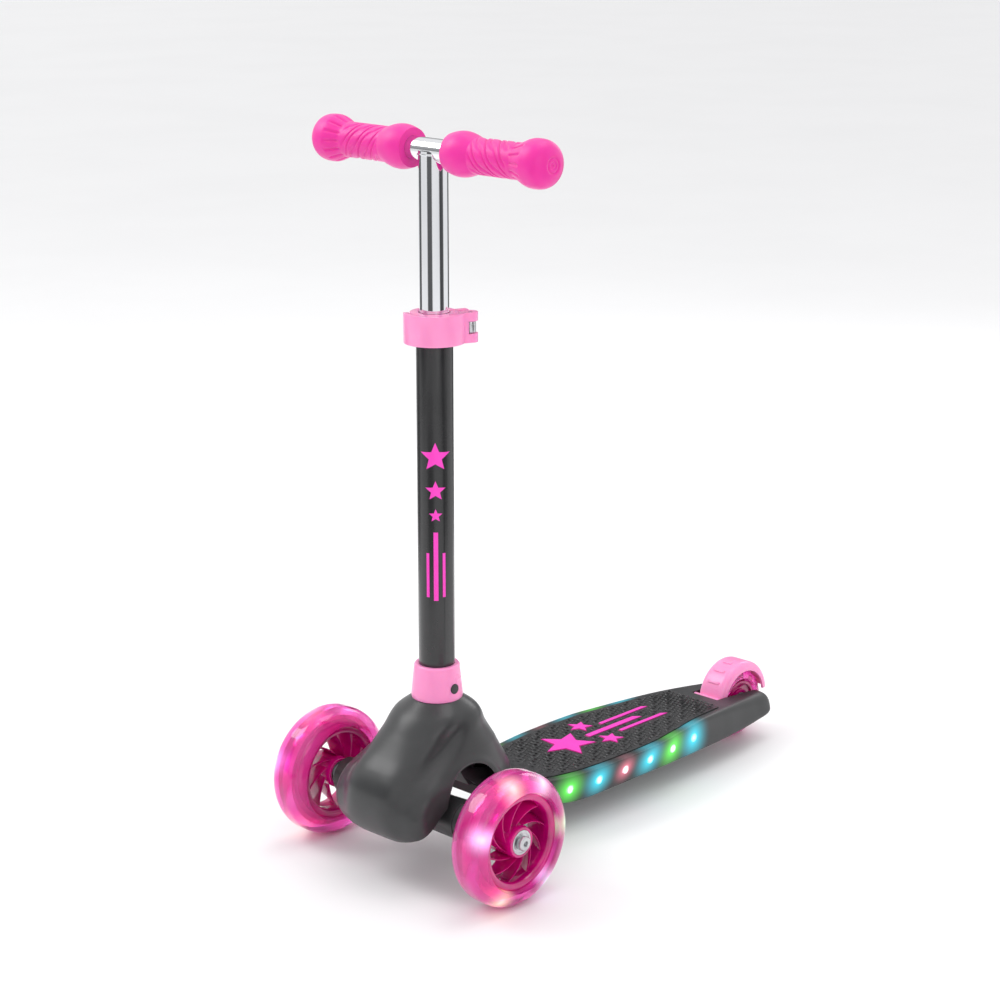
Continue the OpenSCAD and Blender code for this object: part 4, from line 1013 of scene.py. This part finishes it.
for name, node, mirror in (("left_grip_moulding", "left_grip", 1), ("right_grip_moulding", "right_grip", -1)):
    made = grip(name, node, mirror)
    print(name, len(made.data.polygons), "faces")

# %% [markdown]
# ## Front wheels
#
# A light-up wheel is a clear polyurethane tyre cast round a glossy tinted rim. A ring of coils and
# lamps sits between them and lights up as it turns past a magnet on the axle. The tyre is real
# clear material here, so the ring shows through it. The glow of each lamp is painted light: a halo in
# the tyre's emission colour that falls off with the distance. The rim's blades sweep back like a fan's.

# %% Tyres
CORE_R = 43.2


def tyre_profile(radius, half, core, corner, channel=None):
    """Closed section of a tyre in the plane of radius and width: rounded shoulders of radius
    corner, straight sides and a flat seat on the rim, with a channel for the lamp ring."""
    t = np.linspace(0, np.pi / 2, 15)
    left = np.stack([radius - corner + corner * np.sin(t), -(half - corner) - corner * np.cos(t)], 1)
    right = left[::-1] * [1, -1]
    seat = [[core, half - 4.0], [core, -(half - 4.0)]]
    if channel:
        deep, wide = channel
        seat = [[core, half - 4.0], [core, wide], [deep, wide], [deep, -wide], [core, -wide],
                [core, -(half - 4.0)]]
    crown = np.stack([np.full(9, radius), np.linspace(-(half - corner), half - corner, 11)[1:-1]], 1)
    return np.concatenate([left, crown, right, np.array(seat)])


def clear_pu(name, lamps, strength):
    """Clear tinted polyurethane: light passes through it, and each lamp's glow is painted in it as an
    emission halo.
    """
    material = finish(name, (1.0, 0.06, 0.5), (1.0, 0.16, 0.62), patch=30, amount=0.8, gloss=0.08,
                      spread=0.06, grain=700, depth=0.02, Transmission_Weight=0.72, IOR=1.35, Coat_Weight=0.5,
                      Coat_Roughness=0.03)
    if lamps:
        add_glows(material, lamps, strength)
    return material


WHITE, MINT, WARM, SKY = (0.85, 0.9, 1.0), (0.3, 1.0, 0.45), (1.0, 0.75, 0.45), (0.55, 0.75, 1.0)


def lamp_spots(side):
    """Lamps of one front wheel at six angles round the hub, 51 mm out, with their colours."""
    centre = FRONT_AXLE + [0, side * TRACK / 2, 0]
    angles = np.radians([118, 78, 176, 236, 20, 300])
    tints = [WHITE, WARM, MINT, SKY, SKY, WARM]
    return [
        (centre + 51 * MM * np.array([np.cos(a), 0, np.sin(a)]) + [0, side * 12 * MM, 0], 0.019, 0.007, tint)
        for a, tint in zip(angles, tints)
    ]


front_section = tyre_profile(59.98, 19, CORE_R, 15, (CORE_R + 6.2, 4.2)) * MM
for side, label in ((1, "left"), (-1, "right")):
    centre = FRONT_AXLE + [0, side * TRACK / 2, 0]
    points = along_y(turned(front_section, 216), centre)
    tyre = piece(label + "_tyre_cast", points.reshape(-1, 3), skin(len(front_section), 216, wrap_rows=True),
                 label + "_wheel", [label + "_tyre"], crease=40)
    # Painted light: each lamp's glow goes into the clear tyre's emission colour as a halo.
    dress(tyre, clear_pu(label + "_clear_tyre", lamp_spots(side), 1.6))
rear_section = tyre_profile(34.98, 12, 23, 9) * MM
points = along_y(turned(rear_section, 168), REAR_AXLE)
rear_tyre = piece("rear_tyre_cast", points.reshape(-1, 3), skin(len(rear_section), 168, wrap_rows=True),
                  "rear_wheel", ["rear_tyre"], crease=40)
dress(rear_tyre, clear_pu("rear_clear_tyre", [], 0))

# %% Rims
tinted = finish("rim_tint", (0.62, 0.002, 0.2), (0.32, 0.0, 0.1), patch=36, amount=0.8, gloss=0.12,
                spread=0.1, grain=900, depth=0.04, Coat_Weight=0.6, Coat_Roughness=0.05,
                Subsurface_Weight=0.1, Subsurface_Scale=0.005)
HUB_R, BLADES = 14.5, 10


def rim_barrel():
    """Barrel and face of the rim: under the tyre, round a rolled lip, and down a dished face that
    narrows towards the middle of the wheel, on both sides."""
    out = [[CORE_R - 0.05, 15.0], [42.0, 15.6], [40.0, 15.8], [37.5, 15.0], [36.2, 12.5], [36.0, 7.0],
           [36.6, 0.0]]
    out = np.array(out) * [1, 0.94]
    return softened_profile(np.concatenate([out, out[-2::-1] * [1, -1]]), 0.8, 4)


def rim_hub():
    """Hub with a rounded shoulder, a seat for a bearing in each end and a bore between them."""
    half = np.array([[HUB_R, 11.5], [13.4, 15.0], [11.05, 15.0], [11.05, 8.0], [8.5, 8.0]])
    return softened_profile(np.concatenate([half, half[::-1] * [1, -1]]), 0.6, 4)


def blade(turn, rows=40, across=12):
    """One fan blade: from the hub at u = 0 to the barrel at u = 1 its middle line swings by 62
    degrees times the square root of u, its thickness grows from 1.6 to 2.6 mm, it is 20 mm wide
    at the hub and 17 at the barrel, and towards the barrel its two edges twist 14 degrees apart."""
    u = np.linspace(0, 1, rows)[:, None]
    v = np.linspace(0, 2 * np.pi, across * 2, endpoint=False)[None, :]
    r = HUB_R - 0.6 + (36.9 - HUB_R + 0.6) * u
    width = np.sign(np.sin(v)) * np.abs(np.sin(v)) ** 0.35 * (10.0 - 1.5 * u)
    thick = np.sign(np.cos(v)) * np.abs(np.cos(v)) ** 0.8 * (0.8 + 0.5 * u)
    a = np.radians(62 * np.sqrt(u) + 8 * u * width / 10) + turn + thick / r
    return np.stack([r * np.cos(a), r * np.sin(a), np.broadcast_to(width, a.shape)], -1)


def front_rim(side):
    """All of a front rim about Z: barrel, hub and blades, as one set of points and faces."""
    barrel, hub = rim_barrel(), rim_hub()
    points = turned(barrel, 216).reshape(-1, 3)
    faces = skin(len(barrel), 216, wrap_rows=True).tolist()
    points, faces = merged(points, faces, turned(hub, 96).reshape(-1, 3),
                           skin(len(hub), 96, wrap_rows=True).tolist())
    for i in range(BLADES):
        grid = blade(2 * np.pi * i / BLADES)
        points, faces = merged(points, faces, grid.reshape(-1, 3), loft_faces(*grid.shape[:2]))
    return points * [1, side, 1], faces


for side, label in ((1, "left"), (-1, "right")):
    points, faces = front_rim(side)
    centre = FRONT_AXLE + [0, side * TRACK / 2, 0]
    rim = piece(label + "_rim_blades", along_y(points * MM, centre, side), faces, label + "_wheel",
                [label + "_rim"], crease=40)
    dress(rim, tinted)
    print(label, "rim", len(rim.data.polygons), "faces")
softened("rear_rim", 0.4 * MM, tinted)
lamp_ring = finish("lamp_ring", (0.95, 0.75, 0.85), (0.9, 0.5, 0.7), gloss=0.3, depth=0.05)
for side, label in ((1, "left"), (-1, "right")):
    dress(NODES[label + "_light_ring"], lamp_ring)

# %% [markdown]
# ## Mudguard
#
# The mudguard is the brake: a springy pink hood over the rear wheel that a heel pushes down. Its
# section is a flat-topped U with round shoulders, carried round the wheel, and three raised ribs
# across its crown keep the heel from slipping. The exact part has all of that, and only its edges
# are too sharp, so a softened copy is enough.

# %% Mudguard
softened("brake_fender", 0.5 * MM, plastic["pale"], crease=30)

# %% [markdown]
# ## Floor
#
# A plain pale floor carries the shadow. An upright tube seen from a little above mirrors the floor
# some way off and not the walls, so the soft dark panels go on there, in reflections only.

# %% Floor
FLOOR_HALF = 60.0
floor_points, floor_faces = block([-FLOOR_HALF, -FLOOR_HALF, -0.02], [FLOOR_HALF, FLOOR_HALF, -0.0002])
floor = bpy.data.objects.new("floor", as_mesh("floor", floor_points, floor_faces))
scene.collection.objects.link(floor)
pale = finish("pale_floor", (0.93, 0.93, 0.935), (0.9, 0.9, 0.905), patch=2, gloss=0.6, spread=0.05, grain=60,
              depth=0.01)


def panels_in_reflections(material):
    """Gives the floor, where reflections see it, soft dark panels like those of the walls, from
    0.7 to 1.1 m out. Other rays see it pale all over."""
    tree = material.node_tree
    shader = tree.nodes["Principled BSDF"]
    near = shader.inputs["Base Color"].links[0].from_socket
    node = builder(tree)
    place = node("ShaderNodeTexCoord").outputs["Object"]
    split = node("ShaderNodeSeparateXYZ", {0: place})
    panels = around_panels(node, split, 4, 0.6, 0.15, 0.6)
    reach = node("ShaderNodeVectorMath", {0: place}, operation="LENGTH").outputs["Value"]
    mask = maths(node, "MULTIPLY", panels, smooth_range(node, reach, 0.7, 1.1))
    only = maths(node, "MULTIPLY", mask, node("ShaderNodeLightPath").outputs["Is Glossy Ray"])
    mix = node("ShaderNodeMix", {"A": near, "B": (0.015, 0.015, 0.018, 1), "Factor": only}, data_type="RGBA")
    tree.links.new(mix.outputs["Result"], shader.inputs["Base Color"])


panels_in_reflections(pale)
dress(floor, pale)
